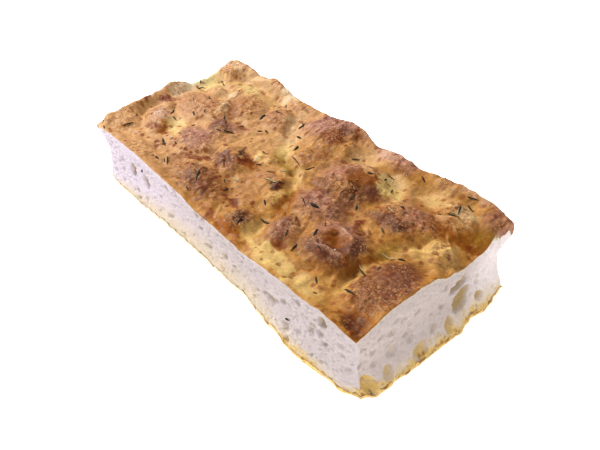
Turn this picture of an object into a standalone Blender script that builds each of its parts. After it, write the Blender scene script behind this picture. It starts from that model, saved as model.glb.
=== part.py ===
"""A cut slab of focaccia: one solid of bread, with its baked top, its airy cut faces and its herb needles.

The slab lies on its baked underside. X runs along the slab, Y across it and Z up. The origin is on the table,
under the middle of the slab. The near long side faces -Y, and the near short end faces +X.
"""

import math

import bmesh
import bpy
import numpy as np
from mathutils import Matrix, Vector
from mathutils.bvhtree import BVHTree

MM = 0.001

# Driving dimensions of the slab.
LENGTH = 200 * MM
WIDTH = 95 * MM
MIDDLE_X = -0.75 * MM
MIDDLE_Y = -0.5 * MM
FRONT_THICKNESS = 34.5 * MM
BACK_THICKNESS = 39 * MM

# Plan of each side, as the place along it and how far it stands out from the slab's block there, in mm: once
# at the rim of the top crust, once in the crumb half way up, and once at the foot.
SIDES = {
    "front": {
        "crust": ((-100, 0.0), (0, 0.0), (100, 0.3)),
        "crumb": ((-100, -0.9), (-60, -1.6), (30, -2.2), (66, -0.2), (100, -1.0)),
        "foot": (
            (-100, -0.6),
            (-78, -1.0),
            (-20, -2.6),
            (25, -2.0),
            (48, 0.8),
            (66, 2.6),
            (86, 1.0),
            (100, 0.4),
        ),
    },
    "end": {
        "crust": ((-48, 0.0), (16, 0.6), (30, 0.8), (40, -1.8), (50, 2.0)),
        "crumb": ((-48, 1.4), (10, 1.8), (50, 0.6)),
        "foot": ((-48, 6.4), (0, 7.6), (13, 8.0), (24, 5.6), (31, 7.2), (41, 5.2), (50, 4.2)),
    },
    "back": {
        "crust": ((-100, 2.0), (-62, 3.2), (-35, 1.6), (0, 3.2), (40, 1.4), (80, 3.4), (100, 3.6)),
        "crumb": ((-100, -2.6), (-50, -1.8), (20, -3.0), (100, -2.1)),
        "foot": ((-100, 0.0), (-30, 1.4), (40, 0.2), (100, 3.6)),
    },
    "far": {
        "crust": ((-48, 3.6), (-36, 4.4), (-15, 4.8), (8, 6.0), (22, 3.8), (38, 4.6), (50, 1.4)),
        "crumb": ((-48, -4.6), (-10, -4.0), (20, -5.0), (50, -6.2)),
        "foot": ((-48, 1.4), (-15, -2.0), (20, -3.2), (50, -3.6)),
    },
}

# Height of the top crust's rim along each side: the place along it and the height there, in mm.
RIM_HEIGHTS = {
    "front": (
        (-100, 36),
        (-84, 39),
        (-58, 39),
        (-24, 37),
        (4, 33.5),
        (30, 33),
        (60, 36),
        (80, 37.5),
        (100, 36.5),
    ),
    "end": ((-48, 36.5), (-28, 41.5), (-8, 41.5), (8, 36), (17, 34), (26, 35.5), (35, 38.5), (48, 39)),
    "back": (
        (-100, 46),
        (-91, 46),
        (-80, 43.2),
        (-62, 45.7),
        (-42, 42.2),
        (-18, 42.4),
        (2, 45.8),
        (21, 41.4),
        (34, 43.6),
        (50, 42),
        (60, 43.4),
        (72, 44.2),
        (90, 44),
        (100, 41),
    ),
    "far": ((-48, 37), (-38, 39.5), (-10, 41), (5, 43.2), (19, 38.6), (32, 39.8), (48, 46)),
}
RIM_BAND = 8 * MM

# The crust rolls over the edge on the far end and along the back.
EDGE_ROLL = 3 * MM
EDGE_ROLL_DROP = 1.3 * MM
CORNER_ROLL_DROP = 2.6 * MM
CORNER_ROLL_START = 84 * MM

# Where the crust's overhang starts, as a share of the thickness, at places along each side, and how far it
# takes to reach its full width. Then the shares where the foot starts and ends, and the powers of the distance
# from the slab's middle by which the sides' offsets grow.
LIP_STARTS = {
    "front": ((-100, 0.80), (100, 0.80)),
    "end": ((-48, 0.80), (36, 0.80), (48, 0.64)),
    "back": ((-100, 0.62), (100, 0.62)),
    "far": ((-48, 0.70), (48, 0.70)),
}
LIP_SPAN = 0.26
FOOT = (-0.12, 0.62)
OFFSET_FADE_X = 5
OFFSET_FADE_Y = 3
CORNER_START_X = 0.9
CORNER_START_Y = 0.8
TOP_CORNER_ROUND = 0.5 * MM
FOOT_CORNER_ROUND = 0.8 * MM
NEAR_FOOT_CORNER_ROUND = 3.0 * MM

# The underside: flat where it rests, lifted at its rim and corners, with shallow baked-in hollows.
RIM_LIFT = 0.5 * MM
RIM_LIFT_WIDTH = 5 * MM
CORNER_LIFT = 0.9 * MM
CORNER_LIFT_WIDTH = 18 * MM
UNDERSIDE_HOLLOWS = 46
UNDERSIDE_SEED = 21
UNDERSIDE_HOLLOW_RADIUS = (2.5 * MM, 6.5 * MM)
UNDERSIDE_HOLLOW_DEPTH = 0.25
UNDERSIDE_FLAT_RADIUS = 12 * MM

# The mesh of the slab before it is thinned out, and the share of its faces that stays.
GRID_STEP = 1.5 * MM
KEPT_FACES = 0.14

# Rounded swellings of the top: x, y, half-length, half-width in mm, turn in degrees, height in mm.
MOUNDS = (
    (-95, 42, 10, 9, 0, 5.0),
    (-100, 6, 8, 8, 10, 4.2),
    (-95, -33, 11, 10, 0, 3.4),
    (-84, -18, 13, 8, -35, 3.2),
    (-92, -5, 7, 6, 20, 2.4),
    (-84, 22, 9, 5, -20, 2.2),
    (-74, 6, 21, 12, 10, 3.6),
    (-50, 0, 12, 9, 0, 3.8),
    (-56, 24, 13, 11, -35, 3.4),
    (-70, 33, 13, 7, 0, 2.0),
    (-66, 47, 16, 6, 0, 2.2),
    (-36, 29, 10, 9, -25, 4.0),
    (-36, 45, 12, 7, 0, 2.4),
    (-3, 38, 19, 14, -5, 4.8),
    (2, 20, 10, 10, 0, 2.6),
    (40, 45, 12, 7, 0, 3.4),
    (33, 19, 17, 15, 30, 5.8),
    (34, -5, 15, 12, -20, 4.0),
    (58, -17, 15, 14, 0, 6.0),
    (89, -21, 13, 20, 8, 4.4),
    (68, 16, 17, 12, 20, 4.2),
    (82, 32, 12, 9, -25, 3.4),
    (91, 12, 11, 6, -35, 2.4),
    (96, 44, 11, 9, 0, 2.8),
    (68, 47, 13, 6, 0, 3.2),
    (-24, -12, 12, 9, -30, 3.8),
    (-22, -34, 20, 11, -5, 3.2),
    (-52, -16, 15, 12, 0, 3.4),
    (4, -9, 9, 6, -15, 2.0),
    (14, -15, 8, 6, -40, 1.8),
    (15, -37, 9, 9, 30, 2.8),
    (34, -27, 8, 12, 15, 2.8),
    (92, -43, 10, 6, 0, 2.0),
    (-66, -42, 18, 7, 0, 2.4),
)

# Finger dimples and troughs of the top: x, y, half-length, half-width in mm, turn in degrees, depth in mm.
DIMPLES = (
    (-96, 25, 9, 10, 0, 1.5),
    (-94, -18, 5, 9, 10, 1.8),
    (-70, -16, 13, 7, -50, 1.0),
    (-27, 32, 11, 4, -75, 1.2),
    (-18, 20, 13, 6, -48, 1.8),
    (-7, 8, 10, 6, -30, 2.8),
    (10, 0, 11, 4.5, -48, 2.2),
    (20, -14, 11, 4, -68, 1.4),
    (25, -34, 12, 5, -80, 1.8),
    (21, 36, 9, 8, 0, 2.4),
    (46, 32, 10, 6, -20, 2.4),
    (60, 37, 9, 6, 0, 2.0),
    (76, -6, 7, 6, 30, 2.0),
    (73, -24, 12, 4, -75, 2.6),
    (58, -42, 20, 6, 0, 1.2),
    (78, 6, 12, 4.5, 50, 2.2),
    (94, 25, 7, 7, 0, 2.2),
    (59, -18, 8, 5.4, -20, 2.8),
    (33, 21, 7, 6, 30, 1.0),
    (-78, 42, 14, 4, 0, 1.4),
)

# Air holes that show large on the near end: y, z, half-width, half-height in mm, turn in degrees, depth.
END_HOLES = (
    (13.2, 26, 6.2, 3.0, 4, 5.5),
    (16.6, 16.4, 6.8, 5.8, 35, 7.0),
    (29.6, 10.4, 3.4, 2.6, -30, 3.5),
    (7.2, 8.6, 3.0, 4.6, 0, 3.5),
    (3, 20, 1.9, 1.6, 0, 2.5),
    (-12, 7, 5.0, 4.4, 0, 3.0),
    (-28, 18, 3.6, 3.2, 0, 1.6),
    (-31, 8.5, 2.8, 4.6, 10, 2.6),
    (-41, 8, 3.2, 5.6, 10, 3.6),
    (-28, 28, 3.6, 2.2, -20, 1.4),
    (-19, 21, 2.8, 1.8, 0, 1.4),
    (-13, 29, 2.6, 1.6, 20, 1.4),
    (-34, 30, 2.4, 1.5, 15, 1.2),
)

# Air holes that show large on the near side: x, z, half-width, half-height in mm, turn in degrees, depth.
FRONT_HOLES = (
    (-68.5, 23.4, 3.2, 4.6, 0, 4.0),
    (-55.5, 23, 3.0, 5.2, 20, 3.0),
    (-34.5, 12, 3.4, 1.5, 20, 1.6),
    (-6, 22, 2.4, 1.2, 0, 1.4),
    (-0.5, 14, 3.2, 1.7, 10, 1.8),
    (13, 17, 2.6, 2.4, 0, 1.6),
    (48.5, 17, 4.0, 2.2, -10, 2.0),
    (60.5, 11.3, 2.8, 2.2, -20, 2.0),
    (81, 30, 2.9, 3.4, 10, 3.0),
    (83, 19, 2.2, 1.6, 0, 1.6),
    (62, 4.5, 2.0, 2.4, 0, 2.0),
)

# Two kinds of holes that the cut faces get by chance: half-width in mm, half-height as a share of it, height
# up the face in mm, greatest place along the face as a share of it, greatest turn in degrees, and depth as a
# share of the half-width. Then how many of each kind every face gets, and the seed of their draw.
LARGE_HOLE = ((2.4, 5.6), (0.55, 0.85), (9, 27), 0.44, 30, 0.6)
SMALL_HOLE = ((1.3, 2.5), (0.6, 1.0), (5, 31), 0.47, 40, 0.7)
CHANCE_HOLES = {
    "front": ((34, 534, SMALL_HOLE),),
    "back": ((9, 31, LARGE_HOLE), (34, 434, SMALL_HOLE)),
    "end": ((20, 320, SMALL_HOLE),),
    "far": ((5, 32, LARGE_HOLE), (18, 318, SMALL_HOLE)),
}
HOLE_RIM_MARGIN = 2.2 * MM
HOLE_ROUNDNESS = 0.7

# The largest herb needles: x, y in mm, turn in degrees, length in mm. The rest are spread by a seeded rule.
LARGE_NEEDLES = (
    (-78, 12.5, -22, 8.0),
    (-85, -9, -50, 7.0),
    (-63.5, -28, -20, 7.4),
    (-89.5, -34, 82, 6.0),
    (-47, -36, -35, 8.0),
    (-57, 7.5, -40, 5.0),
    (-51, 4, -35, 6.4),
    (-43, 0.5, 50, 6.0),
    (-43.5, 23.5, -75, 5.0),
    (-38, 30.5, 10, 6.0),
    (-23, 35, -35, 6.0),
    (-16.5, 26.5, -18, 5.4),
    (-1, 11, -18, 11.0),
    (8.5, 12, 55, 5.0),
    (-22.5, -33.5, -45, 8.0),
    (23, -28, 8, 6.0),
    (34, -8, 10, 5.0),
    (28, -9.5, -25, 6.0),
    (40.5, 36, 8, 5.0),
    (82, 43.5, -20, 5.0),
    (80.5, 37, -62, 6.4),
    (81, 32, 12, 6.0),
    (77, -20, -28, 7.0),
    (81, -32, -10, 7.6),
    (45.7, -30.5, -75, 5.0),
    (46, -12.5, -45, 5.0),
    (33, -18.5, -45, 6.0),
)
SCATTERED_NEEDLES = 38
SCATTERED_LENGTH = (2.8, 4.4)
NEEDLE_SEED = 5
NEEDLE_SPACING = 7.0 * MM
NEEDLE_EDGE_MARGIN = 5 * MM
NEEDLE_HALF_WIDTH = 0.75 * MM
NEEDLE_HALF_HEIGHT = 0.6 * MM
NEEDLE_LIFT = 0.15 * MM

# Blisters and fine relief of the crust, and how far a mound or a dimple reaches past its own oval.
BLISTERS = 90
BLISTER_SEED = 7
BLISTER_RADIUS = (1.8 * MM, 3.6 * MM)
BLISTER_HEIGHT = 0.22
MOUND_BLEND = 3.0
MOUND_REACH = 1.6
MOUND_SHOULDER = 1.3
DIMPLE_REACH = 1.4
BROAD_RELIEF = 0.7 * MM
BROAD_RELIEF_CELL = 13 * MM
FINE_RELIEF = 0.8 * MM
FINE_RELIEF_CELL = 5 * MM

CRUST_COLOUR = (0.50, 0.24, 0.07, 1.0)
CRUST_ROUGHNESS = 0.6


def clear_scene():
    for found in list(bpy.data.objects):
        bpy.data.objects.remove(found)


def smooth_noise(x, y, cell, seed):
    """Gradient noise between about -1 and 1, over cells of the given size."""
    size = 64
    turns = np.random.default_rng(seed).uniform(0, 2 * math.pi, (size, size))
    u = np.asarray(x) / cell
    v = np.asarray(y) / cell
    column = np.floor(u).astype(int)
    row = np.floor(v).astype(int)
    u = u - column
    v = v - row

    def corner(i, j):
        turn = turns[(row + j) % size, (column + i) % size]
        return np.cos(turn) * (u - i) + np.sin(turn) * (v - j)

    ease_u = u * u * (3 - 2 * u)
    ease_v = v * v * (3 - 2 * v)
    low = corner(0, 0) * (1 - ease_u) + corner(1, 0) * ease_u
    high = corner(0, 1) * (1 - ease_u) + corner(1, 1) * ease_u
    return 1.4 * (low * (1 - ease_v) + high * ease_v)


def ramp(value, start, end):
    """Rises smoothly from 0 at start to 1 at end."""
    share = np.clip((value - start) / (end - start), 0, 1)
    return share * share * (3 - 2 * share)


def oval_distance(x, y, oval):
    """Squared distance from the middle of a turned oval, where 1 is its rim. Its sizes are in mm."""
    centre_x, centre_y, half_length, half_width, turn = oval[:5]
    cos = math.cos(math.radians(turn))
    sin = math.sin(math.radians(turn))
    along = (x - centre_x * MM) * cos + (y - centre_y * MM) * sin
    across = (y - centre_y * MM) * cos - (x - centre_x * MM) * sin
    return (along / (half_length * MM)) ** 2 + (across / (half_width * MM)) ** 2


def blisters():
    """Small domes of the crust: x, y, radius in metres."""
    draw = np.random.default_rng(BLISTER_SEED)
    x = draw.uniform(-LENGTH / 2, LENGTH / 2, BLISTERS)
    y = draw.uniform(-WIDTH / 2, WIDTH / 2, BLISTERS)
    radius = draw.uniform(*BLISTER_RADIUS, BLISTERS)
    return list(zip(x, y, radius))


def along_profile(place, profile):
    """The smooth course of a named profile, at places along a side in metres."""
    knots = np.array(profile) * MM
    index = np.clip(np.searchsorted(knots[:, 0], place, side="right") - 1, 0, len(knots) - 2)
    start = knots[index]
    end = knots[index + 1]
    share = np.clip((place - start[..., 0]) / (end[..., 0] - start[..., 0]), 0, 1)
    share = share * share * (3 - 2 * share)
    return start[..., 1] + (end[..., 1] - start[..., 1]) * share


def top_height(x, y):
    """Height of the baked top above the table."""
    thickness = FRONT_THICKNESS + (BACK_THICKNESS - FRONT_THICKNESS) * (y / WIDTH + 0.5)
    swelling = np.zeros_like(x)
    for mound in MOUNDS:
        dome = np.clip(1 - (oval_distance(x, y, mound) / MOUND_REACH) ** MOUND_SHOULDER, 0, 1) ** 2
        swelling += (mound[5] * MM * dome) ** MOUND_BLEND
    height = thickness + swelling ** (1 / MOUND_BLEND)
    for dimple in DIMPLES:
        height = height - dimple[5] * MM * np.clip(1 - oval_distance(x, y, dimple) / DIMPLE_REACH, 0, 1) ** 2
    for place, to_side, side in (
        (y, LENGTH / 2 - x, "end"),
        (y, LENGTH / 2 + x, "far"),
        (x, WIDTH / 2 - y, "back"),
        (x, WIDTH / 2 + y, "front"),
    ):
        rim = along_profile(place, RIM_HEIGHTS[side])
        height = height + (rim - height) * (1 - ramp(to_side, 0, RIM_BAND))
    back_drop = EDGE_ROLL_DROP + CORNER_ROLL_DROP * ramp(x, CORNER_ROLL_START, LENGTH / 2)
    for to_side, drop in ((LENGTH / 2 + x, EDGE_ROLL_DROP), (WIDTH / 2 - y, back_drop)):
        inward = np.clip(1 - to_side / EDGE_ROLL, 0, 1)
        height = height - drop * (1 - np.sqrt(1 - inward**2))
    for blister_x, blister_y, radius in blisters():
        away = ((x - blister_x) ** 2 + (y - blister_y) ** 2) / radius**2
        height = height + BLISTER_HEIGHT * radius * np.clip(1 - away, 0, 1)
    height = height + BROAD_RELIEF * smooth_noise(x, y, BROAD_RELIEF_CELL, 11)
    return height + FINE_RELIEF * smooth_noise(x, y, FINE_RELIEF_CELL, 12)


def underside_height(x, y):
    """Height of the baked underside above the table, which is zero where the slab rests."""
    to_rim = np.minimum(LENGTH / 2 - np.abs(x), WIDTH / 2 - np.abs(y))
    height = RIM_LIFT * (1 - ramp(to_rim, 0, RIM_LIFT_WIDTH))
    to_corner = np.hypot(np.abs(x) - LENGTH / 2, np.abs(y) - WIDTH / 2)
    height = height + CORNER_LIFT * (1 - ramp(to_corner, 0, CORNER_LIFT_WIDTH))
    draw = np.random.default_rng(UNDERSIDE_SEED)
    for _ in range(UNDERSIDE_HOLLOWS):
        centre_x = draw.uniform(-0.5, 0.5) * LENGTH
        centre_y = draw.uniform(-0.5, 0.5) * WIDTH
        radius = draw.uniform(*UNDERSIDE_HOLLOW_RADIUS)
        if math.hypot(centre_x, centre_y) < UNDERSIDE_FLAT_RADIUS + radius:
            continue
        away = ((x - centre_x) ** 2 + (y - centre_y) ** 2) / radius**2
        height = height + UNDERSIDE_HOLLOW_DEPTH * radius * np.clip(1 - away, 0, 1)
    return height


def side_offset(side, place, t):
    """How far a cut face stands out from the slab's block, at a place along it and t up it (0 to 1)."""
    crust = along_profile(place, SIDES[side]["crust"])
    crumb = along_profile(place, SIDES[side]["crumb"])
    foot = along_profile(place, SIDES[side]["foot"])
    lip = along_profile(place, LIP_STARTS[side]) / MM
    return crumb + (crust - crumb) * ramp((t - lip) / LIP_SPAN, 0, 1) + (foot - crumb) * (1 - ramp(t, *FOOT))


def chance_holes(count, seed, kind, length):
    """Air holes at random places of a cut face: along, z, half-width, half-height, turn, depth."""
    widths, shapes, heights, reach, turn, depth = kind
    draw = np.random.default_rng(seed)
    found = []
    for _ in range(count):
        along = draw.uniform(-reach, reach) * length / MM
        half_width = draw.uniform(*widths)
        half_height = half_width * draw.uniform(*shapes)
        height = draw.uniform(*heights)
        found.append((along, height, half_width, half_height, draw.uniform(-turn, turn), half_width * depth))
    return found


def face_holes(side, length):
    """All the air holes of one cut face."""
    found = list({"front": FRONT_HOLES, "end": END_HOLES}.get(side, ()))
    for count, seed, kind in CHANCE_HOLES[side]:
        found += chance_holes(count, seed, kind, length)
    return found


def hole_depth(along, z, side, length, top):
    """How deep the air holes reach into a cut face at each point. It fades out at the face's own rim."""
    depth = np.zeros_like(along)
    for hole in face_holes(side, length):
        away = oval_distance(along, z, hole)
        depth = np.maximum(depth, hole[5] * MM * np.clip(1 - away, 0, 1) ** HOLE_ROUNDNESS)
    to_rim = np.minimum(length / 2 - np.abs(along), np.minimum(z, top - z))
    return depth * ramp(to_rim, 0, HOLE_RIM_MARGIN)


def warp(cube):
    """Turns points of the cube from -1 to 1 into points of the slab."""
    u, v, w = cube.T
    t = (w + 1) / 2
    x = u * LENGTH / 2
    y = v * WIDTH / 2
    foot_round = np.where((u > 0) & (v < 0), NEAR_FOOT_CORNER_ROUND, FOOT_CORNER_ROUND)
    pinch = ramp(np.abs(u), CORNER_START_X, 1) * ramp(np.abs(v), CORNER_START_Y, 1)
    pinch = pinch * (TOP_CORNER_ROUND * t + foot_round * (1 - t))
    x_offset = np.where(u > 0, side_offset("end", y, t), side_offset("far", y, t))
    y_offset = np.where(v < 0, side_offset("front", x, t), side_offset("back", x, t))
    x_out = x_offset * np.abs(u) ** OFFSET_FADE_X - pinch
    y_out = y_offset * np.abs(v) ** OFFSET_FADE_Y - pinch
    top = top_height(x, y)
    bottom = underside_height(x, y)
    z = bottom + (top - bottom) * t
    x = x + np.sign(u) * x_out
    y = y + np.sign(v) * y_out
    for side, on_face, along, length in (
        ("front", v <= -1, x, LENGTH),
        ("back", v >= 1, x, LENGTH),
        ("end", u >= 1, y, WIDTH),
        ("far", u <= -1, y, WIDTH),
    ):
        depth = hole_depth(along, z, side, length, top) * on_face
        if side in ("front", "back"):
            y = y - np.sign(v) * depth
        else:
            x = x - np.sign(u) * depth
    return np.stack((x + MIDDLE_X, y + MIDDLE_Y, z), axis=1)


def make_slab(collection):
    """The bread itself, from a finely cut cube whose points are moved and whose faces are then thinned out."""
    shape = bmesh.new()
    bmesh.ops.create_cube(shape, size=2)
    for axis, size in enumerate((LENGTH, WIDTH, BACK_THICKNESS)):
        rails = [
            edge
            for edge in shape.edges
            if abs((edge.verts[0].co - edge.verts[1].co).normalized()[axis]) > 0.9
        ]
        cuts = round(size / GRID_STEP) - 1
        bmesh.ops.subdivide_edges(shape, edges=rails, cuts=cuts, use_grid_fill=True)
    cube = np.array([vert.co for vert in shape.verts])
    for vert, place in zip(shape.verts, warp(cube)):
        vert.co = place
    mesh = bpy.data.meshes.new("focaccia")
    shape.to_mesh(mesh)
    shape.free()
    slab = bpy.data.objects.new("focaccia", mesh)
    collection.objects.link(slab)
    thin = slab.modifiers.new("thin_out", "DECIMATE")
    thin.ratio = KEPT_FACES
    return slab


def scattered_needles():
    """The smaller needles, spread over the top with a least distance to each other."""
    draw = np.random.default_rng(NEEDLE_SEED)
    placed = list(LARGE_NEEDLES)
    reach_x = (LENGTH / 2 - NEEDLE_EDGE_MARGIN) / MM
    reach_y = (WIDTH / 2 - NEEDLE_EDGE_MARGIN) / MM
    while len(placed) < len(LARGE_NEEDLES) + SCATTERED_NEEDLES:
        x = draw.uniform(-reach_x, reach_x)
        y = draw.uniform(-reach_y, reach_y)
        turn = draw.uniform(-90, 90)
        length = draw.uniform(*SCATTERED_LENGTH)
        if all(math.hypot(x - other[0], y - other[1]) * MM > NEEDLE_SPACING for other in placed):
            placed.append((x, y, turn, length))
    return placed


def surface_frame(surface, x, y, turn):
    """A matrix that lays a piece on the top at x, y, with its length turned by the given angle."""
    above = Vector((x, y, 2 * BACK_THICKNESS))
    place, up, _, _ = surface.ray_cast(above, Vector((0, 0, -1)))
    along = Vector((math.cos(turn), math.sin(turn), 0))
    along = (along - up * along.dot(up)).normalized()
    frame = Matrix((along, up.cross(along), up)).transposed().to_4x4()
    return Matrix.Translation(place + up * NEEDLE_LIFT) @ frame


def make_needles(slab, collection):
    """Herb needles, each a slim faceted spindle that lies half sunk in the crust."""
    surface = BVHTree.FromObject(slab, bpy.context.evaluated_depsgraph_get())
    for number, (x, y, turn, length) in enumerate(scattered_needles()):
        shape = bmesh.new()
        bmesh.ops.create_uvsphere(shape, u_segments=4, v_segments=4, radius=1)
        turned = Matrix.Rotation(math.radians(90), 4, "Y")
        sized = Matrix.Diagonal((length * MM / 2, NEEDLE_HALF_WIDTH, NEEDLE_HALF_HEIGHT, 1))
        place = surface_frame(surface, x * MM + MIDDLE_X, y * MM + MIDDLE_Y, math.radians(turn))
        bmesh.ops.transform(shape, matrix=place @ sized @ turned, verts=shape.verts)
        mesh = bpy.data.meshes.new(f"needle_{number:02d}")
        shape.to_mesh(mesh)
        shape.free()
        collection.objects.link(bpy.data.objects.new(mesh.name, mesh))


def fuse(slab, collection):
    """Joins the needles to the slab, leaves one mesh, and levels its lowest points with the table."""
    union = slab.modifiers.new("herbs", "BOOLEAN")
    union.operation = "UNION"
    union.operand_type = "COLLECTION"
    union.collection = collection
    union.solver = "MANIFOLD"
    graph = bpy.context.evaluated_depsgraph_get()
    joined = bpy.data.meshes.new_from_object(slab.evaluated_get(graph))
    for vert in joined.vertices:
        vert.co.z = max(vert.co.z, 0)
    slab.modifiers.clear()
    slab.data = joined
    for piece in list(collection.objects):
        bpy.data.objects.remove(piece)


def give_material(slab):
    crust = bpy.data.materials.new("baked_bread")
    crust.use_nodes = True
    shader = crust.node_tree.nodes["Principled BSDF"]
    shader.inputs["Base Color"].default_value = CRUST_COLOUR
    shader.inputs["Roughness"].default_value = CRUST_ROUGHNESS
    shader.inputs["Metallic"].default_value = 0.0
    slab.data.materials.clear()
    slab.data.materials.append(crust)


def main():
    clear_scene()
    bread = bpy.data.collections.new("focaccia")
    herbs = bpy.data.collections.new("herb_needles")
    bpy.context.scene.collection.children.link(bread)
    bpy.context.scene.collection.children.link(herbs)
    slab = make_slab(bread)
    make_needles(slab, herbs)
    fuse(slab, herbs)
    give_material(slab)


main()
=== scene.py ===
"""Looks of a cut slab of focaccia: baked top, airy cut faces, baked underside, herb needles and salt.

Everything is in metres in the part's own frame. X runs along the slab, Y across it and Z up. The block's
middle stands a little off the origin, because the near end leans out at its foot.
"""

import math

import bmesh
import bpy
import numpy as np
from mathutils import Euler, Matrix, Vector
from mathutils.bvhtree import BVHTree

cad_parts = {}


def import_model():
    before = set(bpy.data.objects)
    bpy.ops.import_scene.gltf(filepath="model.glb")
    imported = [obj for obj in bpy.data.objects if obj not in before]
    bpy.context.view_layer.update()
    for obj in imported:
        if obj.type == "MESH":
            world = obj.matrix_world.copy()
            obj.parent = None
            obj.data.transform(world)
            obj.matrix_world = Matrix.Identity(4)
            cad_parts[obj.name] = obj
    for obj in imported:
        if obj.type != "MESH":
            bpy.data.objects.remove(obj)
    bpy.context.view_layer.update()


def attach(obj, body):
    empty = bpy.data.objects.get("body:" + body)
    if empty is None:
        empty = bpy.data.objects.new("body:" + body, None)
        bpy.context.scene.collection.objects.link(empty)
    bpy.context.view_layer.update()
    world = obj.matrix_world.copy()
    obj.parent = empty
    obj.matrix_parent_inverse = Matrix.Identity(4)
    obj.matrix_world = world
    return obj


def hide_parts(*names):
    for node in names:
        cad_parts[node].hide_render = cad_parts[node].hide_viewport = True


MM = 0.001

# Camera at the photograph's viewing angle.
CAMERA_PLACE = (0.1946, -0.15829, 0.21527)
CAMERA_YAW = 138.85
CAMERA_PITCH = -40.34
SENSOR_WIDTH = 36.0
LENS = 37.2

# Glow of the floor, as of a light table, and of the white surroundings.
FLOOR_GLOW = 0.65
WORLD_GLOW = 0.55

# Soft square lights: name, azimuth and elevation in degrees, distance and size in metres, power in watts.
LIGHTS = (("key", 187, 42, 1.3, 0.4, 28), ("fill", 345, 18, 1.3, 0.8, 6))

# Driving dimensions of the slab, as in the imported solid.
LENGTH = 200 * MM
WIDTH = 95 * MM
MIDDLE_X = -0.75 * MM
MIDDLE_Y = -0.5 * MM
FRONT_THICKNESS = 34.5 * MM
BACK_THICKNESS = 39 * MM

# Layers of smooth noise that each feature is made of: amount, cell in mm and seed.
NOISE = {
    "broad relief": ((1, 13, 11),),
    "fine relief": ((1, 5, 12),),
    "warp x": ((1, 8, 41),),
    "warp y": ((1, 8, 42),),
    "crease": ((1, 5.4, 43),),
    "crease drift": ((1, 19, 44),),
    "skin grain": ((1, 1.3, 45),),
    "pin drift": ((1, 11, 47),),
    "wrinkle": ((1, 2.4, 49),),
    "hole x": ((1, 2.6, 51),),
    "hole z": ((1, 2.6, 52),),
    "toast": ((1, 9, 60),),
    "mottle": ((0.5, 4.5, 61), (0.4, 2.0, 62), (0.25, 1.0, 70)),
    "patch x": ((1, 6, 63), (0.4, 2, 74)),
    "patch y": ((1, 6, 64), (0.4, 2, 75)),
    "darker": ((1, 2.6, 65), (0.6, 1.2, 66)),
    "lighter": ((1, 2.4, 68), (0.6, 1.1, 69)),
    "freckle": ((1, 2.1, 67),),
    "fine freckle": ((0.7, 1.1, 73),),
    "crust edge": ((1, 3, 71),),
    "crust proud": ((1, 2, 72),),
    "crumb grain": ((1, 1.2, 81),),
    "foot glow": ((1, 7, 83),),
    "foot scorch": ((1, 2.4, 84), (0.4, 1, 80)),
    "glaze": ((0.75, 4, 85), (0.45, 1.7, 86)),
    "pore x": ((1, 2, 87),),
    "pore z": ((1, 2, 88),),
    "base edge": ((0.8, 4.4, 91), (0.4, 2, 96)),
    "base bubbles": ((1, 3.2, 92),),
    "base skin": ((1, 2.6, 93),),
    "base mottle": ((0.5, 7, 94), (0.3, 2, 95)),
    "base scorch": ((1, 3, 97),),
    "fine base scorch": ((0.6, 1.3, 98),),
}

# Plan of each side, as the place along it and how far it stands out from the slab's block there, in mm: once
# at the rim of the top crust, once in the crumb half way up, and once at the foot.
SIDES = {
    "front": {
        "crust": ((-100, 0.0), (0, 0.0), (100, 0.3)),
        "crumb": ((-100, -0.9), (-60, -1.6), (30, -2.2), (66, -0.2), (100, -1.0)),
        "foot": (
            (-100, -0.6), (-78, -1.0), (-20, -2.6), (25, -2.0),
            (48, 0.8), (66, 2.6), (86, 1.0), (100, 0.4),
        ),
    },
    "end": {
        "crust": ((-48, 0.0), (16, 0.6), (30, 0.8), (40, -1.8), (50, 2.0)),
        "crumb": ((-48, 1.4), (10, 1.8), (50, 0.6)),
        "foot": ((-48, 6.4), (0, 7.6), (13, 8.0), (24, 5.6), (31, 7.2), (41, 5.2), (50, 4.2)),
    },
    "back": {
        "crust": ((-100, 2.0), (-62, 3.2), (-35, 1.6), (0, 3.2), (40, 1.4), (80, 3.4), (100, 3.6)),
        "crumb": ((-100, -2.6), (-50, -1.8), (20, -3.0), (100, -2.1)),
        "foot": ((-100, 0.0), (-30, 1.4), (40, 0.2), (100, 3.6)),
    },
    "far": {
        "crust": ((-48, 3.6), (-36, 4.4), (-15, 4.8), (8, 6.0), (22, 3.8), (38, 4.6), (50, 1.4)),
        "crumb": ((-48, -4.6), (-10, -4.0), (20, -5.0), (50, -6.2)),
        "foot": ((-48, 1.4), (-15, -2.0), (20, -3.2), (50, -3.6)),
    },
}

# Height of the top crust's rim along each side: the place along it and the height there, in mm.
RIM_HEIGHTS = {
    "front": (
        (-100, 36), (-84, 39), (-58, 39), (-24, 37), (4, 33.5),
        (30, 33), (60, 36), (80, 37.5), (100, 36.5),
    ),
    "end": ((-48, 36.5), (-28, 41.5), (-8, 41.5), (8, 36), (17, 34), (26, 35.5), (35, 38.5), (48, 39)),
    "back": (
        (-100, 46), (-91, 46), (-80, 43.2), (-62, 45.7), (-42, 42.2), (-18, 42.4), (2, 45.8),
        (21, 41.4), (34, 43.6), (50, 42), (60, 43.4), (72, 44.2), (90, 44), (100, 41),
    ),
    "far": ((-48, 37), (-38, 39.5), (-10, 41), (5, 43.2), (19, 38.6), (32, 39.8), (48, 46)),
}
RIM_BAND = 8 * MM

# The crust rolls over the edge on the far end and along the back.
EDGE_ROLL = 3 * MM
EDGE_ROLL_DROP = 1.3 * MM
CORNER_ROLL_DROP = 2.6 * MM
CORNER_ROLL_START = 84 * MM

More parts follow.
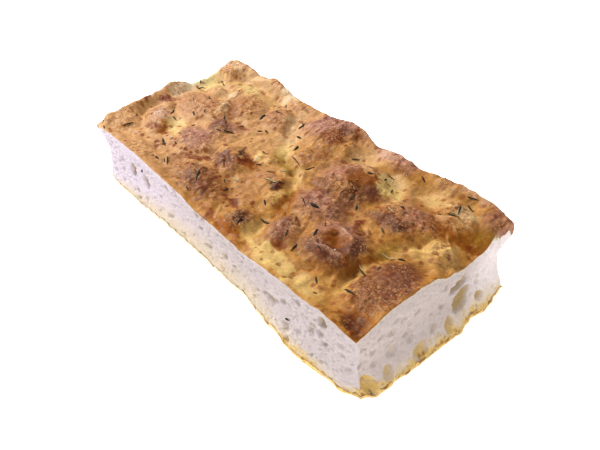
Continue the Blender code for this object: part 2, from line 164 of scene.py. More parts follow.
# Where the crust's overhang starts, as a share of the thickness, at places along each side, and how far it
# takes to reach its full width. Then the shares where the foot starts and ends.
LIP_STARTS = {
    "front": ((-100, 0.80), (100, 0.80)),
    "end": ((-48, 0.80), (36, 0.80), (48, 0.64)),
    "back": ((-100, 0.62), (100, 0.62)),
    "far": ((-48, 0.70), (48, 0.70)),
}
LIP_SPAN = 0.26
FOOT = (-0.12, 0.62)
CORNER_START_X = 0.9
CORNER_START_Y = 0.8
TOP_CORNER_ROUND = 0.5 * MM
FOOT_CORNER_ROUND = 0.8 * MM
NEAR_FOOT_CORNER_ROUND = 3.0 * MM

# The underside: flat where it rests, lifted at its rim and corners, with shallow baked-in hollows.
RIM_LIFT = 0.5 * MM
RIM_LIFT_WIDTH = 5 * MM
CORNER_LIFT = 0.9 * MM
CORNER_LIFT_WIDTH = 18 * MM
UNDERSIDE_HOLLOWS = 46
UNDERSIDE_SEED = 21
UNDERSIDE_HOLLOW_RADIUS = (2.5 * MM, 6.5 * MM)
UNDERSIDE_HOLLOW_DEPTH = 0.25
UNDERSIDE_FLAT_RADIUS = 12 * MM

# Rounded swellings of the top: x, y, half-length, half-width in mm, turn in degrees, height in mm.
MOUNDS = (
    (-95, 42, 10, 9, 0, 5.0),
    (-100, 6, 8, 8, 10, 4.2),
    (-95, -33, 11, 10, 0, 3.4),
    (-84, -18, 13, 8, -35, 3.2),
    (-92, -5, 7, 6, 20, 2.4),
    (-84, 22, 9, 5, -20, 2.2),
    (-74, 6, 21, 12, 10, 3.6),
    (-50, 0, 12, 9, 0, 3.8),
    (-56, 24, 13, 11, -35, 3.4),
    (-70, 33, 13, 7, 0, 2.0),
    (-66, 47, 16, 6, 0, 2.2),
    (-36, 29, 10, 9, -25, 4.0),
    (-36, 45, 12, 7, 0, 2.4),
    (-3, 38, 19, 14, -5, 4.8),
    (2, 20, 10, 10, 0, 2.6),
    (40, 45, 12, 7, 0, 3.4),
    (33, 19, 17, 15, 30, 5.8),
    (34, -5, 15, 12, -20, 4.0),
    (58, -17, 15, 14, 0, 6.0),
    (89, -21, 13, 20, 8, 4.4),
    (68, 16, 17, 12, 20, 4.2),
    (82, 32, 12, 9, -25, 3.4),
    (91, 12, 11, 6, -35, 2.4),
    (96, 44, 11, 9, 0, 2.8),
    (68, 47, 13, 6, 0, 3.2),
    (-24, -12, 12, 9, -30, 3.8),
    (-22, -34, 20, 11, -5, 3.2),
    (-52, -16, 15, 12, 0, 3.4),
    (4, -9, 9, 6, -15, 2.0),
    (14, -15, 8, 6, -40, 1.8),
    (15, -37, 9, 9, 30, 2.8),
    (34, -27, 8, 12, 15, 2.8),
    (92, -43, 10, 6, 0, 2.0),
    (-66, -42, 18, 7, 0, 2.4),
)

# Finger dimples and troughs of the top: x, y, half-length, half-width in mm, turn in degrees, depth in mm.
DIMPLES = (
    (-96, 25, 9, 10, 0, 1.5),
    (-94, -18, 5, 9, 10, 1.8),
    (-70, -16, 13, 7, -50, 1.0),
    (-27, 32, 11, 4, -75, 1.2),
    (-18, 20, 13, 6, -48, 1.8),
    (-7, 8, 10, 6, -30, 2.8),
    (10, 0, 11, 4.5, -48, 2.2),
    (20, -14, 11, 4, -68, 1.4),
    (25, -34, 12, 5, -80, 1.8),
    (21, 36, 9, 8, 0, 2.4),
    (46, 32, 10, 6, -20, 2.4),
    (60, 37, 9, 6, 0, 2.0),
    (76, -6, 7, 6, 30, 2.0),
    (73, -24, 12, 4, -75, 2.6),
    (58, -42, 20, 6, 0, 1.2),
    (78, 6, 12, 4.5, 50, 2.2),
    (94, 25, 7, 7, 0, 2.2),
    (59, -18, 8, 5.4, -20, 2.8),
    (33, 21, 7, 6, 30, 1.0),
    (-78, 42, 14, 4, 0, 1.4),
)

# Blisters and fine relief of the crust, and how far a mound or a dimple reaches past its own oval.
BLISTERS = 90
BLISTER_RADIUS = (1.8 * MM, 3.6 * MM)
BLISTER_HEIGHT = 0.22
BLISTER_SEED = 7
MOUND_BLEND = 3.0
MOUND_REACH = 1.6
MOUND_SHOULDER = 1.3
DIMPLE_REACH = 1.4
BROAD_RELIEF = 0.7 * MM
FINE_RELIEF = 0.8 * MM

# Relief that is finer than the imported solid's: creases of the skin, small blisters, pin-head blisters, grain.
CREASE_HEIGHT = 0.4 * MM
WRINKLE_HEIGHT = 0.12 * MM
GRAIN_HEIGHT = 0.12 * MM
SKIN_BUMPS = 2200
SKIN_BUMP_RADIUS = (0.6 * MM, 1.6 * MM)
SKIN_BUMP_HEIGHT = 0.34
SKIN_BUMP_SEED = 46

# How far the folds and creases of the skin wander.
WARP = 2.0 * MM

# Round red-brown scorch spots of the crust, and the crust's own share of them outside the freckled zones.
SCORCH_SPOTS = 420
SCORCH_RADIUS = (0.7 * MM, 1.7 * MM)
SCORCH_SEED = 48
SCORCH_ELSEWHERE = 0.5

# Folds and creases of the skin: tone, from x, y, to x, y, bow, half-width and height in mm, strength of the
# tone. The tones are partly painted light: pale on the raised ridges as painted highlight, dark along the
# sunken creases as painted shade.
FOLDS = (
    ("pale", 72, 29, 93, 33, -3, 0.9, 0.8, 0.8),
    ("pale", 76, 26, 90, 24, 1, 0.7, 0.6, 0.7),
    ("pale", 84, 22, 97, 12, 1, 0.7, 0.6, 0.6),
    ("pale", 80, 12, 97, 17, -2, 0.8, 0.6, 0.6),
    ("yellow", 78, 3, 92, 8, 1, 0.8, 0.6, 0.7),
    ("pale", 86, 0, 98, 8, 1.5, 0.7, 0.5, 0.6),
    ("pale", 74, -2, 84, 2, 1, 0.6, 0.4, 0.6),
    ("pink", 50, -23, 69, -19, -4, 0.9, 1.0, 0.6),
    ("purple", 48, -21, 68, -17, -4, 0.7, -0.6, 0.6),
    ("umber", 56, -11, 51, -22, 0.8, 0.7, -0.5, 0.7),
    ("pink", 53, -10, 63, -13, 1.5, 0.8, 0.8, 0.6),
    ("orange", 58, -15, 62, -20, 1, 1.4, 0.2, 0.6),
    ("pale", 56, 1, 62, -6, 2, 0.6, 0.7, 0.7),
    ("umber", 58, -1, 61, -7, 1.5, 0.5, -0.5, 0.7),
    ("pale", 38, -18, 36, -26, 1, 0.8, 0.5, 0.6),
    ("umber", 31, -16, 38, -23, 0, 0.6, -0.6, 0.8),
    ("pale", 24, 12, 40, 13, -2.5, 0.7, 0.7, 0.6),
    ("umber", 18, 27, 26, 17, -1, 0.8, -0.5, 0.6),
    ("umber", 22, 16, 30, 9, 0.5, 0.8, -0.5, 0.6),
    ("umber", 36, 12, 44, 4, 1, 0.9, -0.6, 0.6),
    ("pink", 28, 3, 36, -3, 1, 0.8, 0.5, 0.5),
    ("pale", 26, 27, 41, 24, 2, 0.7, 0.6, 0.5),
    ("pale", 6, 10, 14, -2, 1, 1.4, 0.8, 0.6),
    ("orange", 13, 0, 27, -25, 2, 1.4, -0.9, 0.8),
    ("pale", -33, -5, -27, -12, -2, 0.8, 0.6, 0.6),
    ("butter", -23, 3, -14, -2, 1.5, 0.9, 0.8, 0.8),
    ("cream", -20, 0, -15, -4, 1, 0.6, 0.6, 0.9),
    ("umber", -34, -16, -18, -18, 1.5, 0.8, -0.6, 0.7),
    ("umber", -32, -20, -20, -21, -1, 0.7, -0.5, 0.6),
    ("pale", -29, 38, -24, 22, 1.5, 1.2, 0.6, 0.7),
    ("pale", -70, 17, -62, 8, 1, 0.9, 0.9, 0.9),
    ("umber", -72, 22, -57, 12, 1, 1.2, -0.7, 0.7),
    ("pale", -98, 13, -97, -14, -2, 1.0, 0.8, 0.7),
    ("amber", -76, -17, -71, -28, 1.5, 0.9, -0.4, 0.7),
    ("pale", -52, -33, -46, -38, 0, 0.6, 0.5, 0.6),
    ("umber", -92, -42, -84, -47, 0, 1.0, -0.6, 0.6),
    ("umber", -66, -31, -60, -36, 0, 0.8, -0.5, 0.5),
    ("umber", -98, 18, -85, 18.5, -1, 0.8, -0.6, 0.5),
    ("cream", -76, 30, -73, 22, 2, 0.8, 0.8, 0.7),
    ("pale", -84, 43, -48, 44, 1, 1.0, 0.6, 0.6),
    ("umber", -50, -16, -44, -8, 1, 0.7, -0.4, 0.5),
    ("pale", 0, -36, 6, -46, 0.5, 0.7, 0.5, 0.6),
    ("pale", 60, 48, 74, 50, 1, 0.8, 0.5, 0.5),
    ("umber", 34, 40, 50, 41, -1, 1.0, -0.5, 0.5),
)

# Air holes that show large on the near end: y, z, half-width, half-height in mm, turn in degrees, depth in
# mm.
END_HOLES = (
    (13.2, 26, 6.2, 3.0, 4, 5.5),
    (16.6, 16.4, 6.8, 5.8, 35, 7.0),
    (29.6, 10.4, 3.4, 2.6, -30, 3.5),
    (7.2, 8.6, 3.0, 4.6, 0, 3.5),
    (3, 20, 1.9, 1.6, 0, 2.5),
    (-12, 7, 5.0, 4.4, 0, 3.0),
    (-28, 18, 3.6, 3.2, 0, 1.6),
    (-31, 8.5, 2.8, 4.6, 10, 2.6),
    (-41, 8, 3.2, 5.6, 10, 3.6),
    (-28, 28, 3.6, 2.2, -20, 1.4),
    (-19, 21, 2.8, 1.8, 0, 1.4),
    (-13, 29, 2.6, 1.6, 20, 1.4),
    (-34, 30, 2.4, 1.5, 15, 1.2),
)

# Air holes that show large on the near side, listed the same way, with x in place of y.
FRONT_HOLES = (
    (-68.5, 23.4, 3.2, 4.6, 0, 4.0),
    (-55.5, 23, 3.0, 5.2, 20, 3.0),
    (-34.5, 12, 3.4, 1.5, 20, 1.6),
    (-6, 22, 2.4, 1.2, 0, 1.4),
    (-0.5, 14, 3.2, 1.7, 10, 1.8),
    (13, 17, 2.6, 2.4, 0, 1.6),
    (48.5, 17, 4.0, 2.2, -10, 2.0),
    (60.5, 11.3, 2.8, 2.2, -20, 2.0),
    (81, 30, 2.9, 3.4, 10, 3.0),
    (83, 19, 2.2, 1.6, 0, 1.6),
    (62, 4.5, 2.0, 2.4, 0, 2.0),
)

LISTED_HOLES = {"front": FRONT_HOLES, "end": END_HOLES, "back": (), "far": ()}

# Holes that a seeded draw adds: half-width in mm, half-height as a share of it, height above the table in mm,
# reach along the face as a share of its length, turn in degrees, depth as a share of the half-width. Then the
# number of them and the seed, for each face.
LARGE_HOLE = ((2.4, 5.6), (0.55, 0.85), (9, 27), 0.44, 30, 0.6)
SMALL_HOLE = ((1.3, 2.5), (0.6, 1.0), (5, 31), 0.47, 40, 0.7)
CHANCE_HOLES = {
    "front": ((34, 534, SMALL_HOLE),),
    "back": ((9, 31, LARGE_HOLE), (34, 434, SMALL_HOLE)),
    "end": ((20, 320, SMALL_HOLE),),
    "far": ((5, 32, LARGE_HOLE), (18, 318, SMALL_HOLE)),
}
HOLE_RIM_MARGIN = 2.2 * MM
HOLE_ROUNDNESS = 0.7
HOLE_WOBBLE = 0.6 * MM

# The sponge of finer pores all over a cut face: cell, least and greatest radius in mm, share of cells with
# one, and depth as a share of the radius. Then the seed of the first and how they wander and flatten.
PORES = (
    (7.5, 1.2, 2.7, 0.3, 0.4),
    (3.6, 0.6, 1.5, 0.4, 0.5),
    (2.0, 0.35, 0.9, 0.6, 0.7),
    (1.1, 0.2, 0.5, 0.7, 0.9),
)
PORE_SEED = 90
PORE_WOBBLE = 0.5 * MM
PORE_FLATNESS = 1.25
CRUMB_GRAIN = 0.24 * MM

# Height of the golden, fried zone at the foot of each cut face: the place along it and the height there, in
# mm.
FOOT_GLAZE = {
    "front": ((-100, 1.0), (-20, 1.0), (30, 1.6), (48, 3.0), (62, 4.6), (76, 5.0), (90, 3.4), (100, 5.0)),
    "end": (
        (-48, 10.5), (-41, 9.5), (-33, 6.0), (-22, 6.0), (-8, 7.5), (2, 7.5),
        (12, 5.6), (22, 7.0), (32, 6.0), (42, 4.0), (48, 3.0),
    ),
    "back": ((-100, 2.0), (-40, 4.0), (20, 2.4), (100, 4.0)),
    "far": ((-48, 3.0), (0, 4.0), (48, 3.0)),
}

# Small bubbles of the fried foot: cell, least and greatest radius, share of cells with one, seed.
BUBBLES = (1.7 * MM, (0.5 * MM, 1.1 * MM), 0.8, 89)

# Height that the warm glow of the foot reaches up each cut face, the same way as the fried zone's.
FOOT_GLOW = {
    "front": ((-100, 7), (-70, 14), (-30, 24), (30, 22), (60, 14), (100, 9)),
    "end": ((-48, 12), (0, 12), (14, 16), (34, 16), (48, 14)),
    "back": ((-100, 12), (0, 18), (100, 14)),
    "far": ((-48, 12), (48, 14)),
}

# Thickness of the baked layers, and how far they stand proud of the crumb at the cut.
TOP_CRUST = 0.8 * MM
ROLLED_CRUST = 2.6 * MM
CORNER_CRUST = 5.4 * MM
CORNER_CRUST_START = (0.66, 0.92)
BOTTOM_CRUST = 1.8 * MM
FOOT_BUBBLES = 0.8 * MM
CRUST_PROUD = 0.2 * MM

# How far below the top the hidden caps inside the bread lie.
CRUST_CAP_DEPTH = 2.2 * MM
CAP_DEPTH = 4.5 * MM

# Steps of the meshes, along the slab and across it, and the rings up the sides.
CRUST_STEPS = (420, 200)
CRUST_RINGS = 4
CRUMB_STEPS = (400, 190)
CRUMB_RINGS = 70
UNDERSIDE_STEPS = (250, 120)
UNDERSIDE_RINGS = 7

# Where the wall of a layer starts to stand out, as shares of the half-length and the half-width.
WALL_START_X = 0.985
WALL_START_Y = 0.97

# Tones of the crust as they look in the scene's light, as 8-bit sRGB.
# Mauve and pink are partly the crust's own colour and partly painted sheen and highlight on mounds and ridges.
TONES = {
    "cream": (252, 226, 182),
    "butter": (242, 206, 128),
    "lemon": (252, 224, 148),
    "pale": (236, 194, 138),
    "pink": (232, 192, 172),
    "yellow": (218, 174, 106),
    "golden": (206, 150, 76),
    "peach": (218, 166, 106),
    "tan": (196, 142, 94),
    "brown": (164, 108, 60),
    "mauve": (182, 130, 112),
    "umber": (130, 74, 34),
    "purple": (116, 70, 60),
    "burnt": (66, 26, 14),
    "red": (124, 54, 20),
    "orange": (170, 94, 26),
    "amber": (144, 76, 14),
    "olive": (166, 128, 50),
}

# Light that the crust gets in the scene, the sheen on top of its own colour, and the darkest that it gets.
CRUST_LIGHT = 2.03
CRUST_SHEEN = (0.018, 0.013, 0.010)
DARKEST = 0.003

# How the crust deepens from the far left to the near right, as factors of red, green and blue: partly a
# deeper bake, partly painted light that makes the far end brighter.
BAKE_AND_LIGHT = ((1.08, 1.05, 1.08), (1.01, 0.945, 0.87))

# Patches of tone on the crust: tone, x, y, half-length, half-width in mm, turn in degrees, strength.
PATCHES = (
    ("pink", -97, 45, 8, 6, 0, 0.8),
    ("peach", -94, 40, 8, 6, 0, 0.7),
    ("pale", -75, 43, 22, 3, 3, 0.9),
    ("cream", -48, 46, 6, 7, 0, 0.9),
    ("yellow", -74, 35, 14, 6, 0, 0.9),
    ("yellow", -52, 37, 9, 5, -20, 0.8),
    ("purple", -71, 50, 8, 3, 0, 0.8),
    ("purple", -81, 47, 4, 2, 30, 0.8),
    ("butter", -94, 24, 9, 9, 0, 0.9),
    ("olive", -92, 23, 4, 3, 0, 0.3),
    ("cream", -102, 21, 7, 10, 0, 1.0),
    ("pale", -82, 24, 9, 4, -15, 0.8),
    ("cream", -75, 26, 3, 2, -30, 0.8),
    ("peach", -99, 7, 6, 5, -10, 0.9),
    ("orange", -98, 5, 4, 2.4, -10, 0.4),
    ("tan", -76, 6, 18, 10, 0, 0.9),
    ("pale", -95, 3, 1.8, 12, 6, 0.9),
    ("red", -102, -1, 4, 2.4, 0, 0.9),
    ("red", -93.5, -5, 3.6, 2.6, -10, 1.0),
    ("red", -100, -15, 3.0, 2.0, -30, 0.9),
    ("peach", -91, -15, 5, 7, 0, 0.6),
    ("pink", -84, -15, 6, 5, -40, 0.7),
    ("brown", -64, 22, 11, 6, -50, 0.8),
    ("pale", -70, 19, 9, 2, -50, 0.6),
    ("umber", -58, 14, 6, 3, -40, 0.9),
    ("pale", -64, 12, 6, 1.4, -55, 0.8),
    ("yellow", -61, 3, 4, 5, 0, 0.4),
    ("purple", -52, 2, 8, 6, -20, 0.8),
    ("mauve", -44, 8, 5, 5, 0, 0.7),
    ("red", -44, 10, 3, 2, 20, 0.6),
    ("yellow", -45, 33, 3, 6, 20, 0.8),
    ("tan", -37, 28, 9, 7, -35, 0.9),
    ("brown", -34, 24, 6, 3, 20, 0.4),
    ("pale", -28, 34, 3, 9, 14, 1.0),
    ("pale", -22, 24, 6, 11, 40, 0.9),
    ("butter", -13, 14, 7, 5, -30, 0.7),
    ("olive", -8, 8, 8, 3.6, -25, 0.7),
    ("olive", 2, 5, 5, 2.4, -20, 0.6),
    ("golden", -5, 22, 6, 8, 0, 0.5),
    ("brown", 3, 18, 6, 9, 0, 0.6),
    ("mauve", -2, 46, 18, 6, 0, 0.9),
    ("pink", 5, 48, 10, 3, 0, 0.6),
    ("mauve", -12, 37, 11, 7, 0, 0.9),
    ("red", 1, 35, 6, 5, 30, 0.7),
    ("purple", 5, 42, 7, 2, 15, 0.9),
    ("purple", -16, 43, 2, 4, 40, 0.6),
    ("purple", -13, 47, 2, 3, 40, 0.6),
    ("golden", 10, 37, 4, 8, 10, 0.6),
    # Painted highlight: a pale pink patch on the crest.
    ("pink", 29, 46, 10, 5, 0, 0.9),
    ("pale", 22, 37, 9, 6, 0, 0.8),
    ("purple", 20, 48, 5, 2, 0, 0.8),
    ("mauve", 22, 20, 10, 11, -30, 0.9),
    ("mauve", 30, -5, 13, 8, 0, 0.95),
    ("mauve", 46, -2, 10, 8, -45, 0.6),
    ("purple", 24, 6, 11, 3.4, -15, 0.8),
    ("amber", 35, 21, 6, 8, -15, 0.65),
    ("pale", 31, 28, 7, 1.4, -20, 0.7),
    ("burnt", 38, 13.5, 3, 2.4, 0, 0.8),
    ("purple", 40, 8, 7, 4, 30, 0.8),
    ("purple", 43, 0, 4, 9, 10, 0.6),
    ("purple", 46, 19, 5, 6, 0, 0.8),
    ("yellow", 54, 33, 8, 5, -10, 0.9),
    # These two, and the lemon patch at 47, 28 below, paint the dimple's wet skin paler: partly its own pale
    # colour, partly a painted reflection.
    ("cream", 43, 32, 7, 6, -20, 0.7),
    ("butter", 47, 27, 6, 4, -20, 0.8),
    ("mauve", 42, 45, 10, 5, 0, 0.9),
    ("pink", 41, 48, 8, 3, 0, 0.6),
    ("pink", 80, 48, 22, 4, 0, 0.8),
    ("purple", 65, 48, 5, 1.6, -20, 0.7),
    ("pale", 66, 37, 11, 6, 0, 0.9),
    ("tan", 58, 24, 7, 9, -30, 0.8),
    ("pale", 56, 20, 5, 5, -30, 0.6),
    ("mauve", 73, 20, 11, 7, 20, 0.8),
    ("amber", 86, 23, 12, 4.4, 8, 0.8),
    ("amber", 96, 27, 4, 8, 0, 0.7),
    # Partly the mound's own pale pink-cream, partly painted light on a slope that lies in shade.
    ("cream", 83, 36, 7, 5, 10, 0.8),
    ("olive", 96, 33, 3, 6, 0, 0.7),
    ("purple", 62, 9, 12, 3.6, 8, 0.85),
    ("burnt", 71, 9, 4, 2, 0, 0.6),
    ("red", 54, 0, 3.4, 2.4, 0, 0.9),
    ("red", 61, -1, 2, 1.6, 0, 0.7),
    ("red", 58, -4, 2, 1.6, 0, 0.6),
    ("yellow", 90, 9, 13, 7, 35, 0.9),
    ("butter", 86, 11, 9, 4, 35, 0.7),
    ("olive", 75, -3, 4, 7, -10, 0.7),
    ("butter", 79, -8, 3.4, 7, -10, 0.6),
    ("mauve", 55, -12, 12, 11, 0, 0.95),
    ("amber", 73, -15, 2, 10, -8, 0.6),
    # On the crater mound's lower and right flanks and under its foot, the purple and umber patches are partly
    # its own burnt colour and partly painted shade.
    ("purple", 55, -26, 12, 4.4, 5, 0.9),
    ("amber", 58, -18, 6.6, 4.6, -20, 0.8),
    ("purple", 66, -16, 3.4, 9, 0, 0.9),
    ("umber", 70, -22, 2.4, 9, -25, 0.4),
    ("umber", 62, -30.5, 11, 2.0, 25, 0.5),
    ("butter", 50, -42, 28, 5, 0, 0.8),
    ("pale", 60, -41, 17, 5, 0, 0.6),
    ("mauve", 34, -27, 8, 11, 10, 0.9),
    ("purple", 32, -23, 2.4, 7, 30, 0.6),
    ("purple", 36, -31, 4, 3, 0, 0.5),
    ("red", 39, -34, 3, 3, 0, 0.6),
    ("golden", 26, -38, 4, 8, 10, 0.8),
    ("umber", 88, -18, 10, 18, 5, 0.95),
    ("purple", 92, -14, 6, 12, 5, 0.6),
    ("amber", 93, -42, 8, 6, 0, 0.9),
    ("golden", 88, -46, 4, 2, 0, 0.6),
    ("burnt", 93, -43, 5, 3.4, 0, 0.6),
    ("mauve", 97, 42, 6, 8, 0, 0.8),
    ("golden", 78, -41, 7, 5, 20, 0.8),
    ("peach", -70, -39, 20, 7, -8, 0.8),
    ("tan", -62, -30, 8, 4, -10, 0.5),
    ("brown", -36, -36, 10, 9, -10, 0.8),
    ("umber", -47, -32, 5, 4, 0, 0.8),
    ("umber", -17, -33, 15, 10, 0, 0.9),
    ("purple", -25, -37, 5, 3, -20, 0.5),
    ("burnt", -25, -38, 2.4, 1.6, -30, 0.7),
    ("burnt", -12, -38, 2.4, 1.6, -30, 0.7),
    ("tan", 3, -24, 8, 8, 0, 0.7),
    ("red", 3, -32, 3.6, 2, 0, 0.9),
    ("orange", 12, -44, 24, 3, 0, 0.85),
    ("red", 1, -44, 2, 4, 0, 0.7),
    ("purple", 12, -32, 4, 3, 0, 0.4),
    ("burnt", 16, -37, 5, 5, -50, 0.85),
    ("orange", 29, -44, 2.6, 2, 0, 1.0),
    ("golden", -33, -9, 6, 5, 0, 0.8),
    ("purple", -26, -16, 11, 4, -8, 0.85),
    ("amber", -15, -8, 4, 5.4, -20, 0.9),
    ("red", -18, -8, 3, 6, 20, 0.8),
    ("burnt", -24, -5, 6, 1.3, -55, 0.9),
    # Partly painted glints on a small bright ridge.
    ("butter", -17, 1, 6, 3, -20, 0.8),
    ("tan", -6, -12, 5, 10, 0, 0.7),
    ("mauve", 1, -6, 4, 3, 0, 0.7),
    ("burnt", 9, -10, 3, 2.8, -30, 1.0),
    ("butter", 15, -15, 4, 6, 20, 0.8),
    ("golden", 11, 0, 3, 9, 38, 0.8),
    ("orange", 20, -16, 2.4, 10, 20, 0.7),
    ("olive", 14, -6, 2, 5, 30, 0.6),
    ("red", -38, -23, 10, 2, 30, 0.8),
    ("mauve", -53, -14, 12, 8, -20, 0.8),
    # Painted highlight at the lit end of the dimple.
    ("pale", -76, -11, 4, 3, -30, 1.0),
    ("butter", -70, -15, 5, 9, 40, 0.9),
    ("olive", -68, -17, 3, 7, 35, 0.25),
    ("red", -77, -24, 4, 2.0, 32, 0.8),
    ("amber", -72, -25, 2, 4, -30, 0.5),
    ("peach", -95, -33, 8, 8, 0, 0.8),
    ("pink", -103, -36, 4, 9, 0, 0.6),
    ("pale", -92, -47, 12, 2, 0, 0.8),
    # The lemon patches lie in the dimples and troughs: partly their pale oily colour, partly painted light that
    # lifts the shade there.
    ("lemon", 50, -42, 24, 4.6, 0, 0.9),
    ("lemon", 24, -37, 4, 7, 0, 0.6),
    ("lemon", 76, -26, 3, 9, 5, 0.5),
    ("lemon", 47, 28, 9, 5, -20, 0.9),
    ("lemon", 10, 2, 3, 9, 38, 0.5),
    ("lemon", -13, 14, 6, 4, -30, 0.5),
    ("lemon", 86, 9, 9, 4, 35, 0.6),
    ("lemon", 66, 36, 8, 4, 0, 0.5),
    ("lemon", -74, 36, 12, 4, 0, 0.5),
    ("lemon", -70, -15, 4, 8, 40, 0.6),
    ("lemon", -94, 24, 7, 7, 0, 0.6),
    # Painted light: a paler patch on the far rim's slope that lies in shade.
    ("cream", -98, 8, 6, 8, 0, 0.6),
    ("mauve", 89, -21, 12, 17, 8, 0.35),
)
PATCH_WOBBLE = 2.8 * MM

# Tones that keep to the raised parts.
DARK_TONES = ("mauve", "purple", "umber", "brown")

# Strength of the red-brown freckles elsewhere, and where they crowd: x, y, half-length, half-width in mm,
# turn in degrees, strength.
FRECKLE_GROUND = 0.2
FRECKLED = (
    (-40, -30, 46, 14, -3, 1.0),
    (0, -25, 18, 18, 0, 0.8),
    (-3, 38, 22, 12, 0, 0.9),
    (-92, 0, 12, 18, 0, 0.8),
    (-55, 20, 16, 12, -40, 0.6),
    (-25, -12, 20, 10, 0, 0.8),
    (58, -2, 12, 8, 0, 0.8),
    (85, -15, 14, 18, 0, 0.6),
    (60, 12, 30, 12, 0, 0.5),
)

# Where the skin is smooth, with few bumps and no pin-head blisters, listed the same way.
SMOOTH = (
    (58, -18, 7, 5.4, -20, 1.0),
    (35, 21, 7, 8, -15, 0.7),
    (44, 31, 8, 7, -20, 1.0),
    (-94, 24, 8, 8, 0, 1.0),
    (-70, -15, 5, 9, 40, 1.0),
    (-24, 30, 4, 10, 20, 0.8),
    (-13, 14, 7, 5, -30, 0.8),
    (55, -42, 24, 5, 0, 0.6),
)

# The skin is calmer at the far end: fully up to the first place along the slab, and not past the second.
CALM_X = (-70 * MM, -20 * MM)

# Tones of the crust's cut edge, near the top and further down, and the paint of its pin-head blisters,
# which is partly their own pale colour and partly a painted glint on their tips.
EDGE_TONES = ((226, 186, 124), (248, 232, 204))
PIN_AND_GLINT_PAINT = (0.40, 0.22, 0.09, 1)

# Tones of the crumb: along the slab from its far to its near end, then on the near end from the near to the
# far side. The lighter tone toward the far end is painted light. After them the tones that come over them at
# the foot, in the pores as painted shade, and in the air holes as their tan walls with painted shade and warm
# bounced light.
CRUMB_TONES = ((230, 215, 226), (216, 201, 200), (207, 190, 184), (248, 234, 230))
CRUMB_FOOT_TONE = (236, 214, 182)
PORE_SHADE = (212, 204, 190)
HOLE_WALL_AND_SHADE = (212, 182, 128)

# Tones of the fried foot, light and dark, of its pale stretch, and of the underside.
GLAZE_TONES = ((234, 194, 112), (142, 84, 28))
FOOT_PALE_TONE = (250, 236, 206)
UNDERSIDE_TONES = ((222, 178, 112), (168, 106, 50))

# Light that each of these surfaces gets in the scene.
CRUMB_LIGHT = 1.4
FAR_LIGHT = 2.0
UNDERSIDE_LIGHT = 1.4
FOOT_LIGHT = 1.05

# The largest herb needles: x, y in mm, turn in degrees, length in mm, breadth as a factor.
LARGE_NEEDLES = (
    (-104, 26, -35, 4.0, 0.8),
    (-101, 21.5, -30, 4.0, 0.8),
    (-97, 18.5, 60, 4.6, 1.0),
    (-94, 32.5, -5, 3.4, 0.8),
    (-90, 30.5, -20, 4.0, 0.8),
    (-78, 12.5, -22, 8.0, 1.1),
    (-72.5, -2.5, -20, 3.2, 1.2),
    (-85, -9, -50, 7.0, 0.9),
    (-79, -11, 0, 3.6, 0.8),
    (-61, -19, 0, 3.4, 0.7),
    (-63.5, -28, -20, 7.4, 1.2),
    (-56, -25, -10, 3.2, 0.9),
    (-89.5, -34, 82, 6.0, 0.9),
    (-95, -46, -20, 5.0, 0.8),
    (-102, -43, -20, 3.0, 0.7),
    (-47, -36, -35, 8.0, 0.7),
    (-52, -39, 10, 3.0, 0.9),
    (-57, 7.5, -40, 5.0, 0.8),
    (-51, 4, -35, 6.4, 0.8),
    (-43, 0.5, 50, 6.0, 0.9),
    (-47, -3.5, 15, 4.0, 0.8),
    (-46, 11, 20, 2.8, 0.9),
    (-43.5, 23.5, -75, 5.0, 1.5),
    (-38, 30.5, 10, 6.0, 0.7),
    (-43, 40, -40, 4.0, 0.7),
    (-35, 15, 30, 3.4, 1.1),
    (-32, 17, -10, 3.0, 1.1),
    (-48, -37, -25, 4.0, 0.7),
    (-23, 35, -35, 6.0, 0.7),
    (-22, 33.5, 85, 4.6, 1.0),
    (-16.5, 26.5, -18, 5.4, 1.3),
    (-9.5, 18.5, -85, 3.8, 1.6),
    (-1, 11, -18, 11.0, 0.7),
    (8.5, 12, 55, 5.0, 0.7),
    (-12, -4, 25, 3.6, 0.9),
    (17.5, 35, 55, 4.6, 0.9),
    (-22.5, -33.5, -45, 8.0, 1.3),
    (-6.5, -28.5, -80, 4.0, 0.8),
    (14, -21, -30, 4.0, 0.9),
    (23, -28, 8, 6.0, 1.0),
    (18, -39, -65, 4.0, 0.8),
    (34, -8, 10, 5.0, 1.8),
    (28, -9.5, -25, 6.0, 0.7),
    (36, 26, 15, 3.6, 0.9),
    (40.5, 36, 8, 5.0, 0.8),
    (41.5, 31, -80, 2.6, 0.9),
    (48, 28.5, -60, 4.0, 0.8),
    (61, 50, -30, 6.4, 0.8),
    (80, 47, 20, 5.6, 0.8),
    (82, 43.5, -20, 5.0, 0.8),
    (54, 44, -20, 3.6, 0.8),
    (80.5, 37, -62, 6.4, 0.8),
    (81, 32, 12, 6.0, 1.0),
    (63, 18.5, -20, 3.2, 1.2),
    (46, 7, -50, 3.4, 0.9),
    (65, 4, -25, 4.0, 1.0),
    (82, -2.6, 15, 3.6, 1.0),
    (77, -20, -28, 7.0, 1.0),
    (81, -32, -10, 7.6, 1.0),
    (66, -36, -35, 4.6, 0.9),
    (45.7, -30.5, -75, 5.0, 0.9),
    (48.5, -20.5, -72, 4.2, 1.1),
    (46, -12.5, -45, 5.0, 0.7),
    (38, -28, -55, 4.4, 0.7),
    (33, -18.5, -45, 6.0, 0.6),
)

